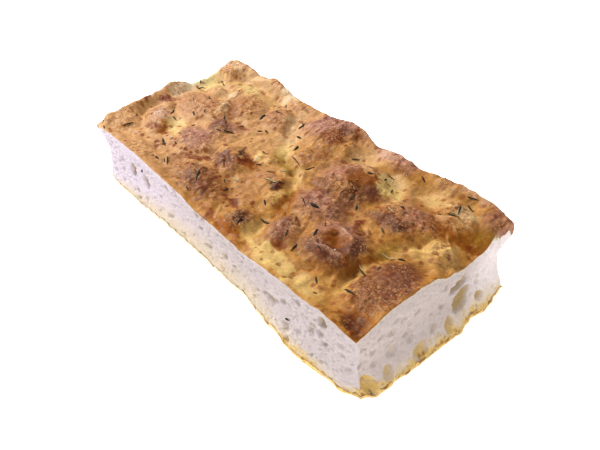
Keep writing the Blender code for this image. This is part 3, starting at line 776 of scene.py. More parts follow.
# Pale leaves, listed the same way.
PALE_LEAVES = (
    (4.5, -9.5, 20, 8.0, 1.0),
    (-9.5, -20.3, 5, 6.0, 0.8),
    (1.5, 1, 25, 5.0, 0.7),
    (60, 14.6, -10, 5.0, 0.7),
    (76.5, -4, 12, 7.0, 0.7),
    (74, -18, -20, 4.0, 0.6),
    (80, 33.5, 15, 5.0, 0.6),
    (-63, -26.8, -20, 4.0, 0.5),
    (-71, 14, -40, 4.0, 0.5),
    (43, 34.5, -50, 4.0, 0.5),
    (-31, -27, 30, 3.6, 0.5),
    (28, -21, -60, 4.4, 0.5),
)
SCATTERED_NEEDLES = 20
NEEDLE_SPACING = 6.0 * MM
NEEDLE_EDGE_MARGIN = 5 * MM
NEEDLE_HALF_WIDTH = 0.5 * MM
NEEDLE_FLATNESS = 0.7
NEEDLE_SINK = 0.35
NEEDLE_REACH = 60 * MM
NEEDLE_RINGS = 11
NEEDLE_SIDES = 8
NEEDLE_SEED = 5
HERB_SEED = 15

# Dried leaves on the near cut face: x, z in mm, turn in degrees, length in mm.
FRONT_NEEDLES = ((-58, 27.6, 80, 2.4), (61, 15.5, 25, 3.4))

# Salt grains: x, y, size in mm.
SALT_GRAINS = (
    (11, -42, 1.0),
    (62, -22, 1.1),
    (60, -24, 0.6),
    (36, 17, 0.7),
    (-60, -8, 0.7),
    (-31, -31, 0.8),
    (84, -10, 0.7),
    (-18, 22, 0.9),
    (-88, 30, 0.8),
    (46, 41, 0.7),
    (2, 33, 0.6),
    (-70, 8, 0.6),
)
SALT_PAINT = (0.55, 0.53, 0.50, 1)
SALT_SEED = 25

# Tones of the dried leaves as they are seen, and how often each dark one comes.
HERB_TONES = ((54, 48, 30), (74, 64, 38), (48, 36, 26), (98, 84, 50))
HERB_SHARES = (0.36, 0.26, 0.24, 0.14)
PALE_LEAF_TONE = (208, 184, 134)

# Values of the crumb's shader.
CRUMB_VALUES = {
    "Roughness": 0.85,
    "Specular IOR Level": 0.25,
    "Subsurface Weight": 0.25,
    "Subsurface Radius": (1.0, 0.9, 0.8),
    "Subsurface Scale": 1.5 * MM,
}

# The plainer materials: scale of the grain per metre and its detail, its darkest and lightest factor, depth
# of its bump in mm and the bump's strength, and the shader's values.
PLAIN_MATERIALS = {
    "baked_underside": (900, 4, 0.82, 1.12, 0.25, 0.7, {"Roughness": 0.6}),
    "dried_herb": (2200, 3, 0.6, 1.4, 0.1, 0.5, {"Roughness": 0.7, "Specular IOR Level": 0.2}),
    "salt": (2500, 2, 0.85, 1.1, 0, 0, {"Roughness": 0.25}),
}


def smooth_noise(x, y, cell, seed):
    """Gradient noise between about -1 and 1, over cells of the given size."""
    size = 64
    turns = np.random.default_rng(seed).uniform(0, 2 * math.pi, (size, size))
    u = np.asarray(x) / cell
    v = np.asarray(y) / cell
    column = np.floor(u).astype(int)
    row = np.floor(v).astype(int)
    u = u - column
    v = v - row

    def corner(i, j):
        turn = turns[(row + j) % size, (column + i) % size]
        return np.cos(turn) * (u - i) + np.sin(turn) * (v - j)

    ease_u = u * u * (3 - 2 * u)
    ease_v = v * v * (3 - 2 * v)
    low = corner(0, 0) * (1 - ease_u) + corner(1, 0) * ease_u
    high = corner(0, 1) * (1 - ease_u) + corner(1, 1) * ease_u
    return 1.4 * (low * (1 - ease_v) + high * ease_v)


def noise(x, y, name):
    """A named noise, as the sum of its layers."""
    return sum(amount * smooth_noise(x, y, cell * MM, seed) for amount, cell, seed in NOISE[name])


def ramp(value, start, end):
    """Rises smoothly from 0 at start to 1 at end."""
    share = np.clip((value - start) / (end - start), 0, 1)
    return share * share * (3 - 2 * share)


def oval_distance(x, y, oval):
    """Squared distance from the middle of a turned oval, where 1 is its rim. Its sizes are in mm."""
    centre_x, centre_y, half_length, half_width, turn = oval[:5]
    cos = math.cos(math.radians(turn))
    sin = math.sin(math.radians(turn))
    along = (x - centre_x * MM) * cos + (y - centre_y * MM) * sin
    across = (y - centre_y * MM) * cos - (x - centre_x * MM) * sin
    return (along / (half_length * MM)) ** 2 + (across / (half_width * MM)) ** 2


def round_bumps(x, y, count, radii, seed):
    """Round bumps scattered over the block: the points near each, their heights on it, and its radius."""
    draw = np.random.default_rng(seed)
    middle_x = draw.uniform(-LENGTH / 2, LENGTH / 2, count)
    middle_y = draw.uniform(-WIDTH / 2, WIDTH / 2, count)
    for one_x, one_y, radius in zip(middle_x, middle_y, draw.uniform(*radii, count)):
        near = np.flatnonzero((np.abs(x - one_x) < radius) & (np.abs(y - one_y) < radius))
        yield near, 1 - ((x[near] - one_x) ** 2 + (y[near] - one_y) ** 2) / radius**2, radius


def domes(x, y, count, radii, height, seed):
    """How much scattered round domes add to the height at each point."""
    added = np.zeros_like(x)
    for near, share, radius in round_bumps(x, y, count, radii, seed):
        added[near] += height * radius * np.clip(share, 0, 1)
    return added


def bumps(x, y, count, radii, seed):
    """Each point's height, from 0 to 1, in the scattered bump that it lies highest on, and its radius."""
    share = np.zeros_like(x)
    radius = np.zeros_like(x)
    for near, height, one_radius in round_bumps(x, y, count, radii, seed):
        higher = height > share[near]
        share[near[higher]] = height[higher]
        radius[near[higher]] = one_radius
    return share, radius


def spots(x, y, cell, radii, share, seed):
    """Height of a sponge of small rounded bumps, one at most in each cell of a jittered grid."""
    size = 97
    draw = np.random.default_rng(seed)
    jitter_x = draw.random((size, size))
    jitter_y = draw.random((size, size))
    radius = np.where(draw.random((size, size)) < share, draw.uniform(*radii, (size, size)), 1e-9)
    column = np.floor(x / cell).astype(int)
    row = np.floor(y / cell).astype(int)
    height = np.zeros_like(x)
    for i in (-1, 0, 1):
        for j in (-1, 0, 1):
            at = (row + j) % size, (column + i) % size
            away_x = x - (column + i + jitter_x[at]) * cell
            away_y = y - (row + j + jitter_y[at]) * cell
            height = np.maximum(height, radius[at] - (away_x**2 + away_y**2) / radius[at])
    return height


def along_profile(place, profile):
    """The smooth course of a named profile, at places along a side in metres."""
    knots = np.array(profile) * MM
    index = np.clip(np.searchsorted(knots[:, 0], place, side="right") - 1, 0, len(knots) - 2)
    start = knots[index]
    end = knots[index + 1]
    share = np.clip((place - start[..., 0]) / (end[..., 0] - start[..., 0]), 0, 1)
    share = share * share * (3 - 2 * share)
    return start[..., 1] + (end[..., 1] - start[..., 1]) * share


def swell(x, y):
    """How far the mounds raise the top and the dimples sink it."""
    swelling = np.zeros_like(x)
    for mound in MOUNDS:
        dome = np.clip(1 - (oval_distance(x, y, mound) / MOUND_REACH) ** MOUND_SHOULDER, 0, 1) ** 2
        swelling += (mound[5] * MM * dome) ** MOUND_BLEND
    height = swelling ** (1 / MOUND_BLEND)
    for dimple in DIMPLES:
        height = height - dimple[5] * MM * np.clip(1 - oval_distance(x, y, dimple) / DIMPLE_REACH, 0, 1) ** 2
    return height


def top_height(x, y):
    """Height of the baked top above the table."""
    height = FRONT_THICKNESS + (BACK_THICKNESS - FRONT_THICKNESS) * (y / WIDTH + 0.5) + swell(x, y)
    for place, to_side, side in (
        (y, LENGTH / 2 - x, "end"),
        (y, LENGTH / 2 + x, "far"),
        (x, WIDTH / 2 - y, "back"),
        (x, WIDTH / 2 + y, "front"),
    ):
        rim = along_profile(place, RIM_HEIGHTS[side])
        height = height + (rim - height) * (1 - ramp(to_side, 0, RIM_BAND))
    back_drop = EDGE_ROLL_DROP + CORNER_ROLL_DROP * ramp(x, CORNER_ROLL_START, LENGTH / 2)
    for to_side, drop in ((LENGTH / 2 + x, EDGE_ROLL_DROP), (WIDTH / 2 - y, back_drop)):
        inward = np.clip(1 - to_side / EDGE_ROLL, 0, 1)
        height = height - drop * (1 - np.sqrt(1 - inward**2))
    height = height + domes(x, y, BLISTERS, BLISTER_RADIUS, BLISTER_HEIGHT, BLISTER_SEED)
    return height + BROAD_RELIEF * noise(x, y, "broad relief") + FINE_RELIEF * noise(x, y, "fine relief")


def warped(x, y):
    """The same places bent a little, so that what is drawn over them wanders."""
    return x + WARP * noise(x, y, "warp x"), y + WARP * noise(x, y, "warp y")


def fine_relief(x, y):
    """What the skin of the crust adds to its height: creases, small blisters and grain."""
    bent_x, bent_y = warped(x, y)
    crease = 1 - 2 * np.abs(noise(bent_x, bent_y, "crease"))
    amount = np.clip(0.5 + 0.5 * noise(x, y, "crease drift"), 0.1, 1)
    rough = roughness_share(x, y)
    added = CREASE_HEIGHT * crease * amount * (rough * (0.55 + 0.45 * ramp(x, *CALM_X)))
    added = added + WRINKLE_HEIGHT * noise(bent_x, bent_y, "wrinkle")
    added = added + GRAIN_HEIGHT * noise(x, y, "skin grain")
    for fold in FOLDS:
        added = added + fold[7] * MM * fold_share(bent_x, bent_y, fold)
    share, radius = bumps(x, y, SKIN_BUMPS, SKIN_BUMP_RADIUS, SKIN_BUMP_SEED)
    return added + SKIN_BUMP_HEIGHT * share * radius * rough


def fold_share(x, y, fold):
    """How near each point is to the bowed line of a fold, from 0 to 1 on it. It fades out at its ends."""
    start_x, start_y, end_x, end_y, bow, half_width = [value * MM for value in fold[1:7]]
    length = math.hypot(end_x - start_x, end_y - start_y)
    way_x = (end_x - start_x) / length
    way_y = (end_y - start_y) / length
    along = ((x - start_x) * way_x + (y - start_y) * way_y) / length
    across = (y - start_y) * way_x - (x - start_x) * way_y - bow * 4 * along * (1 - along)
    ends = ramp(along, -0.05, 0.25) * ramp(1 - along, -0.05, 0.25)
    return np.exp(-((across / half_width) ** 2)) * ends


def roughness_share(x, y):
    """How bumpy the skin is: full on the mounds, less in the valleys, and little in the smooth places."""
    share = 0.35 + 0.65 * ramp(swell(x, y), 0.3 * MM, 3 * MM)
    for zone in SMOOTH:
        share = share * (1 - 0.85 * zone[5] * (1 - ramp(oval_distance(x, y, zone), 0.6, 1.3)))
    return share


def pin_share(x, y):
    """Where the pin-head blisters of the skin crowd: on the mounds, in loose drifts."""
    return ramp(roughness_share(x, y), 0.4, 1) * ramp(noise(x, y, "pin drift"), -0.7, 0.3)


def underside_height(x, y):
    """Height of the baked underside above the table, which is zero where the slab rests."""
    to_rim = np.minimum(LENGTH / 2 - np.abs(x), WIDTH / 2 - np.abs(y))
    height = RIM_LIFT * (1 - ramp(to_rim, 0, RIM_LIFT_WIDTH))
    to_corner = np.hypot(np.abs(x) - LENGTH / 2, np.abs(y) - WIDTH / 2)
    height = height + CORNER_LIFT * (1 - ramp(to_corner, 0, CORNER_LIFT_WIDTH))
    draw = np.random.default_rng(UNDERSIDE_SEED)
    for _ in range(UNDERSIDE_HOLLOWS):
        centre_x = draw.uniform(-0.5, 0.5) * LENGTH
        centre_y = draw.uniform(-0.5, 0.5) * WIDTH
        radius = draw.uniform(*UNDERSIDE_HOLLOW_RADIUS)
        if math.hypot(centre_x, centre_y) < UNDERSIDE_FLAT_RADIUS + radius:
            continue
        away = ((x - centre_x) ** 2 + (y - centre_y) ** 2) / radius**2
        height = height + UNDERSIDE_HOLLOW_DEPTH * radius * np.clip(1 - away, 0, 1)
    return height


def side_offset(side, place, t):
    """How far a cut face stands out from the slab's block, at a place along it and t up it (0 to 1)."""
    crust = along_profile(place, SIDES[side]["crust"])
    crumb = along_profile(place, SIDES[side]["crumb"])
    foot = along_profile(place, SIDES[side]["foot"])
    lip = along_profile(place, LIP_STARTS[side]) / MM
    return crumb + (crust - crumb) * ramp((t - lip) / LIP_SPAN, 0, 1) + (foot - crumb) * (1 - ramp(t, *FOOT))


def block_place(u, v, t):
    """Plan position of the point at u, v across the block (-1 to 1) and t up it, before its holes."""
    x = u * LENGTH / 2
    y = v * WIDTH / 2
    foot_round = np.where((u > 0) & (v < 0), NEAR_FOOT_CORNER_ROUND, FOOT_CORNER_ROUND)
    pinch = ramp(np.abs(u), CORNER_START_X, 1) * ramp(np.abs(v), CORNER_START_Y, 1)
    pinch = pinch * (TOP_CORNER_ROUND * t + foot_round * (1 - t))
    x_out = np.where(u > 0, side_offset("end", y, t), side_offset("far", y, t)) * np.abs(u) ** 5 - pinch
    y_out = np.where(v < 0, side_offset("front", x, t), side_offset("back", x, t)) * np.abs(v) ** 3 - pinch
    return x + np.sign(u) * x_out, y + np.sign(v) * y_out


def chance_holes(side, length):
    """Air holes that a seeded draw gives a cut face: along, z, half-width, half-height, turn, depth."""
    found = []
    for count, seed, (widths, flatness, heights, reach, turn, depth) in CHANCE_HOLES[side]:
        draw = np.random.default_rng(seed)
        for _ in range(count):
            along = draw.uniform(-reach, reach) * length / MM
            half_width = draw.uniform(*widths)
            half_height = half_width * draw.uniform(*flatness)
            z = draw.uniform(*heights)
            found.append((along, z, half_width, half_height, draw.uniform(-turn, turn), half_width * depth))
    return found


def hole_depth(along, z, side, length, top):
    """How deep the air holes reach into a cut face at each point. It fades out at the face's own rim."""
    bent = along + HOLE_WOBBLE * noise(along, z, "hole x")
    bent_z = z + HOLE_WOBBLE * noise(along, z, "hole z")
    depth = np.zeros_like(along)
    for hole in (*LISTED_HOLES[side], *chance_holes(side, length)):
        reach = max(hole[2], hole[3]) * MM
        near = np.flatnonzero((np.abs(bent - hole[0] * MM) < reach) & (np.abs(bent_z - hole[1] * MM) < reach))
        away = oval_distance(bent[near], bent_z[near], hole)
        depth[near] = np.maximum(depth[near], hole[5] * MM * np.clip(1 - away, 0, 1) ** HOLE_ROUNDNESS)
    to_rim = np.minimum(length / 2 - np.abs(along), np.minimum(z, top - z))
    return depth * ramp(to_rim, 0, HOLE_RIM_MARGIN)


def cap_faces(steps, stride, number, upward):
    """Faces of a grid cap. Its outermost cells take in every vertex of the rim, whatever the stride."""
    count_x, count_y = steps
    faces = []
    for j in range(0, count_y, stride):
        for i in range(0, count_x, stride):
            south = range(i, i + stride, 1 if j == 0 else stride)
            east = range(j, j + stride, 1 if i + stride == count_x else stride)
            north = range(i + stride, i, -1 if j + stride == count_y else -stride)
            west = range(j + stride, j, -1 if i == 0 else -stride)
            loop = [number[a, j] for a in south] + [number[i + stride, b] for b in east]
            loop += [number[a, j + stride] for a in north] + [number[i, b] for b in west]
            faces.append(loop if upward else loop[::-1])
    return faces


def rim_path(steps):
    """Grid positions around the rim, counter-clockwise seen from above."""
    count_x, count_y = steps
    south = [(i, 0) for i in range(count_x)]
    east = [(count_x, j) for j in range(count_y)]
    north = [(i, count_y) for i in range(count_x, 0, -1)]
    west = [(0, j) for j in range(count_y, 0, -1)]
    return south + east + north + west


def cap_nodes(steps, stride):
    """Grid positions that a cap uses: every one on the rim, and the inner ones at its stride."""
    used = np.zeros((steps[0] + 1, steps[1] + 1), bool)
    used[::stride, ::stride] = True
    used[[0, -1], :] = True
    used[:, [0, -1]] = True
    return np.argwhere(used)


def make_layer(name, steps, top_stride, bottom_stride, rings, place):
    """A closed box-like mesh with a grid cap above, one below and rings between, each point set by place."""
    top = cap_nodes(steps, top_stride)
    bottom = cap_nodes(steps, bottom_stride)
    path = rim_path(steps)
    numbers = []
    nodes = []
    start = 0
    for cap, w in ((top, 1.0), (bottom, -1.0)):
        number = np.full((steps[0] + 1, steps[1] + 1), -1)
        number[cap[:, 0], cap[:, 1]] = start + np.arange(len(cap))
        numbers.append(number)
        nodes.append(np.column_stack((cap, np.full(len(cap), w))))
        start += len(cap)
    loops = [[numbers[0][p] for p in path]]
    for ring in range(1, rings):
        nodes.append(np.column_stack((np.array(path), np.full(len(path), 1 - 2 * ring / rings))))
        loops.append(list(range(start, start + len(path))))
        start += len(path)
    loops.append([numbers[1][p] for p in path])
    faces = cap_faces(steps, top_stride, numbers[0], True)
    faces += cap_faces(steps, bottom_stride, numbers[1], False)
    for upper, lower in zip(loops, loops[1:]):
        for k in range(len(path)):
            after = (k + 1) % len(path)
            faces.append((lower[k], lower[after], upper[after], upper[k]))
    grid = np.concatenate(nodes).astype(float)
    u = grid[:, 0] / steps[0] * 2 - 1
    v = grid[:, 1] / steps[1] * 2 - 1
    x, y, z, colour = place(u, v, grid[:, 2])
    mesh = bpy.data.meshes.new(name)
    mesh.from_pydata(np.column_stack((x + MIDDLE_X, y + MIDDLE_Y, z)), [], faces)
    layer = mesh.color_attributes.new("tone", "FLOAT_COLOR", "POINT")
    layer.data.foreach_set("color", colour.ravel())
    mesh.shade_smooth()
    piece = bpy.data.objects.new(name, mesh)
    bpy.context.scene.collection.objects.link(piece)
    return piece


def linear(colour):
    """Linear values of an 8-bit sRGB colour or of an array of them."""
    share = np.clip(np.asarray(colour, float) / 255, 0, 1)
    return np.where(share <= 0.04045, share / 12.92, ((share + 0.055) / 1.055) ** 2.4)


def mix(colour, other, share):
    """Mixes two colours or arrays of them, by a share for each point."""
    colour = np.asarray(colour, float)
    return colour + (np.asarray(other, float) - colour) * np.asarray(share)[..., None]


def opaque(colour):
    """The colours with a full alpha."""
    return np.column_stack((colour, np.ones(len(colour))))


def crust_paint(seen):
    """The crust's own colour, from the linear colour that it is seen in."""
    return np.clip(seen - CRUST_SHEEN, DARKEST, None) / CRUST_LIGHT


def crust_ground(x, y, near, mottle, lively):
    """The crust's ground tone, from yellow hollows to brown mounds, and how toasted each point is."""
    raised = (swell(x, y) - 1.2 * MM) / (3.2 * MM)
    toast = np.clip(0.40 + 0.30 * raised + (0.10 * noise(x, y, "toast") + 0.22 * mottle) * lively, 0, 1)
    ground = mix(TONES["peach"], TONES["golden"], ramp(near, 0.15, 0.75))
    colour = mix(TONES["yellow"], ground, ramp(toast, 0.05, 0.35))
    return mix(colour, TONES["brown"], ramp(toast, 0.35, 0.75)), toast


def add_patches(colour, x, y, bent_x, bent_y, mottle):
    """Lays the patches of tone on the crust. The dark ones keep to the mounds."""
    on_mounds = ramp(swell(x, y), 0.8 * MM, 3.4 * MM)
    for patch in PATCHES:
        away = oval_distance(bent_x, bent_y, patch[1:])
        share = patch[6] * (1 - ramp(away + 0.8 * mottle, 0.05, 1.9))
        if patch[0] in DARK_TONES:
            share = share * (0.6 + 0.5 * on_mounds)
        colour = mix(colour, TONES[patch[0]], share)
    return colour


def add_freckles(colour, x, y, bent_x, bent_y):
    """Lays red-brown freckles and round scorch spots on the crust."""
    freckled = np.zeros_like(x) + FRECKLE_GROUND
    for zone in FRECKLED:
        freckled = np.maximum(freckled, zone[5] * (1 - ramp(oval_distance(x, y, zone), 0.4, 1.3)))
    speck = noise(bent_x, bent_y, "freckle") + noise(x, y, "fine freckle")
    colour = mix(colour, TONES["red"], 0.75 * freckled * ramp(speck, 0.55, 0.95))
    scorched, _ = bumps(x, y, SCORCH_SPOTS, SCORCH_RADIUS, SCORCH_SEED)
    return mix(colour, TONES["red"], 0.9 * np.maximum(freckled, SCORCH_ELSEWHERE) * ramp(scorched, 0.05, 0.6))


def crust_tone(x, y):
    """Colour of the baked top: a golden ground, browner mounds, paler dimples, patches and freckles, with
    painted light and shade on its folds, skin bumps and some patches.
    """
    rough = roughness_share(x, y)
    near = ramp(x - 0.5 * y, -80 * MM, 80 * MM)
    lively = (0.5 + 0.7 * ramp(x, *CALM_X)) * (0.6 + 0.4 * rough)
    mottle = noise(x, y, "mottle") * (0.6 + 0.4 * rough)
    colour, toast = crust_ground(x, y, near, mottle, lively)
    bent_x = x + PATCH_WOBBLE * noise(x, y, "patch x")
    bent_y = y + PATCH_WOBBLE * noise(x, y, "patch y")
    colour = add_patches(colour, x, y, bent_x, bent_y, mottle)
    darker = ramp(noise(x, y, "darker"), 0.15, 0.75)
    colour = mix(colour, TONES["purple"], 0.55 * darker * ramp(toast, 0.15, 0.5) * lively)
    lighter = ramp(noise(x, y, "lighter"), 0.2, 0.8)
    colour = mix(colour, TONES["pale"], 0.4 * lighter * lively)
    # Fold tones, partly painted light: highlight on the raised ridges, shade in the sunken creases.
    fold_x, fold_y = warped(x, y)
    for fold in FOLDS:
        colour = mix(colour, TONES[fold[0]], fold[8] * fold_share(fold_x, fold_y, fold))
    colour = add_freckles(colour, x, y, bent_x, bent_y)
    # Painted highlight on the tops of the small skin bumps, and painted shade in a ring at their foot.
    share, _ = bumps(x, y, SKIN_BUMPS, SKIN_BUMP_RADIUS, SKIN_BUMP_SEED)
    bump_highlight_and_shade = 0.15 * ramp(share, 0.3, 0.9) - 0.14 * (ramp(share, 0, 0.1) - ramp(share, 0.1, 0.4))
    # The far end is painted brighter: partly a lighter bake, partly painted light.
    return colour * (1 + bump_highlight_and_shade * rough)[:, None] * mix(*BAKE_AND_LIGHT, near)


def block_column(u, v):
    """Where a point of a layer lies on the block, with the heights of the slab's top and underside there."""
    x = u * LENGTH / 2
    y = v * WIDTH / 2
    return x, y, top_height(x, y), underside_height(x, y)


def outward(u, v):
    """How far each point of a layer faces out along X and along Y: 1 or -1 on its walls, and 0 inside."""
    along_x = np.sign(u) * ramp(np.abs(u), WALL_START_X, 1)
    return along_x, np.sign(v) * ramp(np.abs(v), WALL_START_Y, 1)


def place_top_crust(u, v, w):
    """Points of the baked top layer. Its wall follows the cut faces, a little proud of the crumb."""
    block_x, block_y, top, bottom = block_column(u, v)
    ragged = 1 + 0.35 * noise(block_x + block_y, block_x - block_y, "crust edge")
    rolled = np.maximum(ramp(v, 0.9, 1), ramp(-u, 0.94, 1))
    corner = ramp(v, *CORNER_CRUST_START) * ramp(u, 0.9, 1)
    thickness = TOP_CRUST + (ROLLED_CRUST - TOP_CRUST) * rolled
    thickness = np.maximum(thickness, TOP_CRUST + (CORNER_CRUST - TOP_CRUST) * corner) * ragged
    inside = (np.abs(u) < 1) & (np.abs(v) < 1) & (w < 0)
    depth = thickness * (1 - w) / 2 + CRUST_CAP_DEPTH * inside
    rolled = np.maximum(rolled, corner)
    x, y = block_place(u, v, 1 - depth / (top - bottom))
    at_side_x, at_side_y = outward(u, v)
    proud = CRUST_PROUD * (1 - w * w) * (1 + 0.6 * noise(block_x * 2, block_y * 2 + depth, "crust proud"))
    fade = np.minimum(ramp(1 - np.abs(u), 0, 0.012), ramp(1 - np.abs(v), 0, 0.025))
    z = top + fine_relief(block_x, block_y) * (0.4 + 0.6 * fade) * (w > 0) - depth
    x = x + at_side_x * proud
    y = y + at_side_y * proud
    tone_x = block_x - np.sign(u) * depth * (np.abs(u) >= 1)
    tone_y = block_y - np.sign(v) * depth * (np.abs(v) >= 1)
    colour = crust_tone(tone_x, tone_y)
    cut = (1 - w) / 2 * (1 - rolled)
    colour = mix(colour, EDGE_TONES[0], 0.8 * ramp(cut, 0.02, 0.3))
    seen = linear(mix(colour, EDGE_TONES[1], ramp(cut, 0.2, 0.6)))
    return x, y, z, np.column_stack((crust_paint(seen), pin_share(block_x, block_y) * (w >= 1)))


def glaze_share(side, along, z):
    """How golden and fried the foot of a cut face is at each point, with a ragged upper edge."""
    reach = along_profile(along, FOOT_GLAZE[side])
    return 1 - ramp(z / reach - noise(along, z, "glaze"), 0.35, 1.25)


def sponge_depth(along, z):
    """How deep the finer pores are at each point of a cut face."""
    bent = along + PORE_WOBBLE * noise(along, z, "pore x")
    bent_z = (z + PORE_WOBBLE * noise(along, z, "pore z")) * PORE_FLATNESS
    sponge = np.zeros_like(along)
    for number, (cell, least, greatest, share, depth) in enumerate(PORES):
        pores = spots(bent, bent_z, cell * MM, (least * MM, greatest * MM), share, PORE_SEED + number)
        sponge = np.maximum(sponge, depth * pores)
    return sponge


def face_tone(colour, side, along, z, deep, sponge, glaze):
    """Colour of a cut face: painted shade in its pores, tan walls with painted shade and bounced light in its
    holes, the warm glow above its foot, and the golden, fried foot.
    """
    # Painted shade in the pores, stronger where they are deeper.
    tone = mix(colour, PORE_SHADE, 0.5 * ramp(sponge, 0.15 * MM, 1.3 * MM))
    glow = along_profile(along, FOOT_GLOW[side])
    foot = 1 - ramp(z + 3 * MM * noise(along, z, "foot glow"), 0.1 * glow, glow)
    tone = mix(tone, CRUMB_FOOT_TONE, 0.85 * foot)
    # The air holes' own tan walls, with painted shade and warm bounced light that grow with their depth.
    tone = mix(tone, HOLE_WALL_AND_SHADE, 0.95 * ramp(deep, 0.7 * MM, 3 * MM))
    fried = mix(*GLAZE_TONES, ramp(noise(along, z, "foot scorch"), 0.1, 0.9))
    return mix(tone, fried, 0.9 * glaze)


def place_crumb(u, v, w):
    """Points of the crumb, with its air holes and pores pressed into the four cut faces."""
    _, _, top, bottom = block_column(u, v)
    inside = (np.abs(u) < 1) & (np.abs(v) < 1)
    share_top = 1 - (0.7 * TOP_CRUST + CAP_DEPTH * inside) / (top - bottom)
    share_bottom = (0.6 * BOTTOM_CRUST + CAP_DEPTH * inside) / (top - bottom)
    t = share_bottom + (share_top - share_bottom) * (w + 1) / 2
    z = bottom + (top - bottom) * t
    x, y = block_place(u, v, t)
    # Lighter toward the far end: painted light.
    colour = mix(CRUMB_TONES[0], CRUMB_TONES[1], ramp(x, -70 * MM, 20 * MM))
    colour = mix(colour, CRUMB_TONES[2], (u >= 1) * (1 - ramp(y, 10 * MM, 34 * MM)))
    colour = mix(colour, CRUMB_TONES[3], (u >= 1) * ramp(y, 14 * MM, 40 * MM))
    for side, on_face, along, length in (
        ("front", v <= -1, x, LENGTH),
        ("back", v >= 1, x, LENGTH),
        ("end", u >= 1, y, WIDTH),
        ("far", u <= -1, y, WIDTH),
    ):
        face = np.flatnonzero(on_face)
        place, height = along[face], z[face]
        deep = hole_depth(place, height, side, length, top[face])
        sponge = sponge_depth(place, height)
        rim = ramp(np.minimum(height, top[face] - height), 0.8 * MM, 2.5 * MM)
        rim = rim * ramp(length / 2 - np.abs(place), 0, 3.5 * MM)
        grain = CRUMB_GRAIN * noise(place, height, "crumb grain")
        glaze = glaze_share(side, place, height)
        bubbles = 0.6 * glaze * spots(place, height, *BUBBLES)
        inward = np.maximum(deep, sponge * rim * (1 - 0.7 * glaze)) + grain + 0.15 * MM - bubbles
        if side in ("front", "back"):
            y[face] = y[face] - np.sign(v[face]) * inward
        else:
            x[face] = x[face] - np.sign(u[face]) * inward
        colour[face] = face_tone(colour[face], side, place, height, deep, sponge, glaze)
    light = np.where(u <= -1, FAR_LIGHT, CRUMB_LIGHT)[:, None]
    return x, y, z, opaque(linear(colour) / light)


def place_underside(u, v, w):
    """Points of the baked underside, with a bubbly edge at the foot of the cut faces."""
    block_x, block_y, top, bottom = block_column(u, v)
    around = block_x + block_y
    aslant = block_x - block_y
    height = BOTTOM_CRUST * np.clip(1 + noise(around, aslant, "base edge"), 0.3, 2) * (w + 1) / 2
    x, y = block_place(u, v, height / (top - bottom))
    at_side_x, at_side_y = outward(u, v)
    bubbly = 0.2 + 0.9 * noise(block_x * 1.3, block_y * 1.3 + height, "base bubbles")
    baked = np.where((v <= -1) & (u < 1), 0.06 + 0.94 * ramp(block_x, 24 * MM, 66 * MM), 1)
    proud = (CRUST_PROUD + FOOT_BUBBLES * baked * np.clip(bubbly, 0, 1)) * (1 - w * w)
    skin = 0.12 * MM * noise(block_x, block_y, "base skin") + 0.12 * MM
    z = bottom + height + skin * (w < 0)
    colour = mix(*UNDERSIDE_TONES, np.clip(0.5 + noise(block_x, block_y, "base mottle"), 0, 1))
    edge = (w < 1) & ((w > -1) | (np.abs(u) >= 1) | (np.abs(v) >= 1))
    scorch = noise(around, aslant + 3 * height, "base scorch") + noise(around, aslant, "fine base scorch")
    fried = mix(*GLAZE_TONES, ramp(scorch, 0.05, 0.9))
    fried = mix(fried, FOOT_PALE_TONE, 0.92 * (1 - baked))
    colour = mix(colour, fried, edge)
    light = np.where(edge, FOOT_LIGHT, UNDERSIDE_LIGHT)[:, None]
    return x + at_side_x * proud, y + at_side_y * proud, z, opaque(linear(colour) / light)


def set_values(node, values):
    """Sets the named inputs of a node."""
    for name, value in values.items():
        node.inputs[name].default_value = value


def new_material(name, values):
    """A material with its node tree, its shader with the given values, and its colour attribute."""
    material = bpy.data.materials.new(name)
    material.use_nodes = True
    tree = material.node_tree
    shader = tree.nodes["Principled BSDF"]
    set_values(shader, values)
    tone = tree.nodes.new("ShaderNodeVertexColor")
    tone.layer_name = "tone"
    return material, tree, shader, tone


def add_noise(tree, scale, detail, roughness=0.6):
    """A noise texture over the object's own coordinates, scaled per metre."""
    place = tree.nodes.new("ShaderNodeTexCoord")
    texture = tree.nodes.new("ShaderNodeTexNoise")
    set_values(texture, {"Scale": scale, "Detail": detail, "Roughness": roughness})
    tree.links.new(place.outputs["Object"], texture.inputs["Vector"])
    return texture.outputs["Fac"]


def add_range(tree, value, low, high, out_low, out_high):
    """Maps a value from one range to another, held at its ends."""
    node = tree.nodes.new("ShaderNodeMapRange")
    set_values(node, {"From Min": low, "From Max": high, "To Min": out_low, "To Max": out_high})
    tree.links.new(value, node.inputs["Value"])
    return node.outputs["Result"]


def add_mix(tree, share, first, second, blend="MIX"):
    """Mixes two colours. Each may be a socket or a value."""
    node = tree.nodes.new("ShaderNodeMix")
    node.data_type = "RGBA"
    node.blend_type = blend
    for socket, given in ((node.inputs[0], share), (node.inputs[6], first), (node.inputs[7], second)):
        if isinstance(given, bpy.types.NodeSocket):
            tree.links.new(given, socket)
        else:
            socket.default_value = given
    return node.outputs[2]


def add_math(tree, operation, first, second):
    """Combines two values. The second may be a socket or a number."""
    node = tree.nodes.new("ShaderNodeMath")
    node.operation = operation
    tree.links.new(first, node.inputs[0])
    if isinstance(second, bpy.types.NodeSocket):
        tree.links.new(second, node.inputs[1])
    else:
        node.inputs[1].default_value = second
    return node.outputs["Value"]


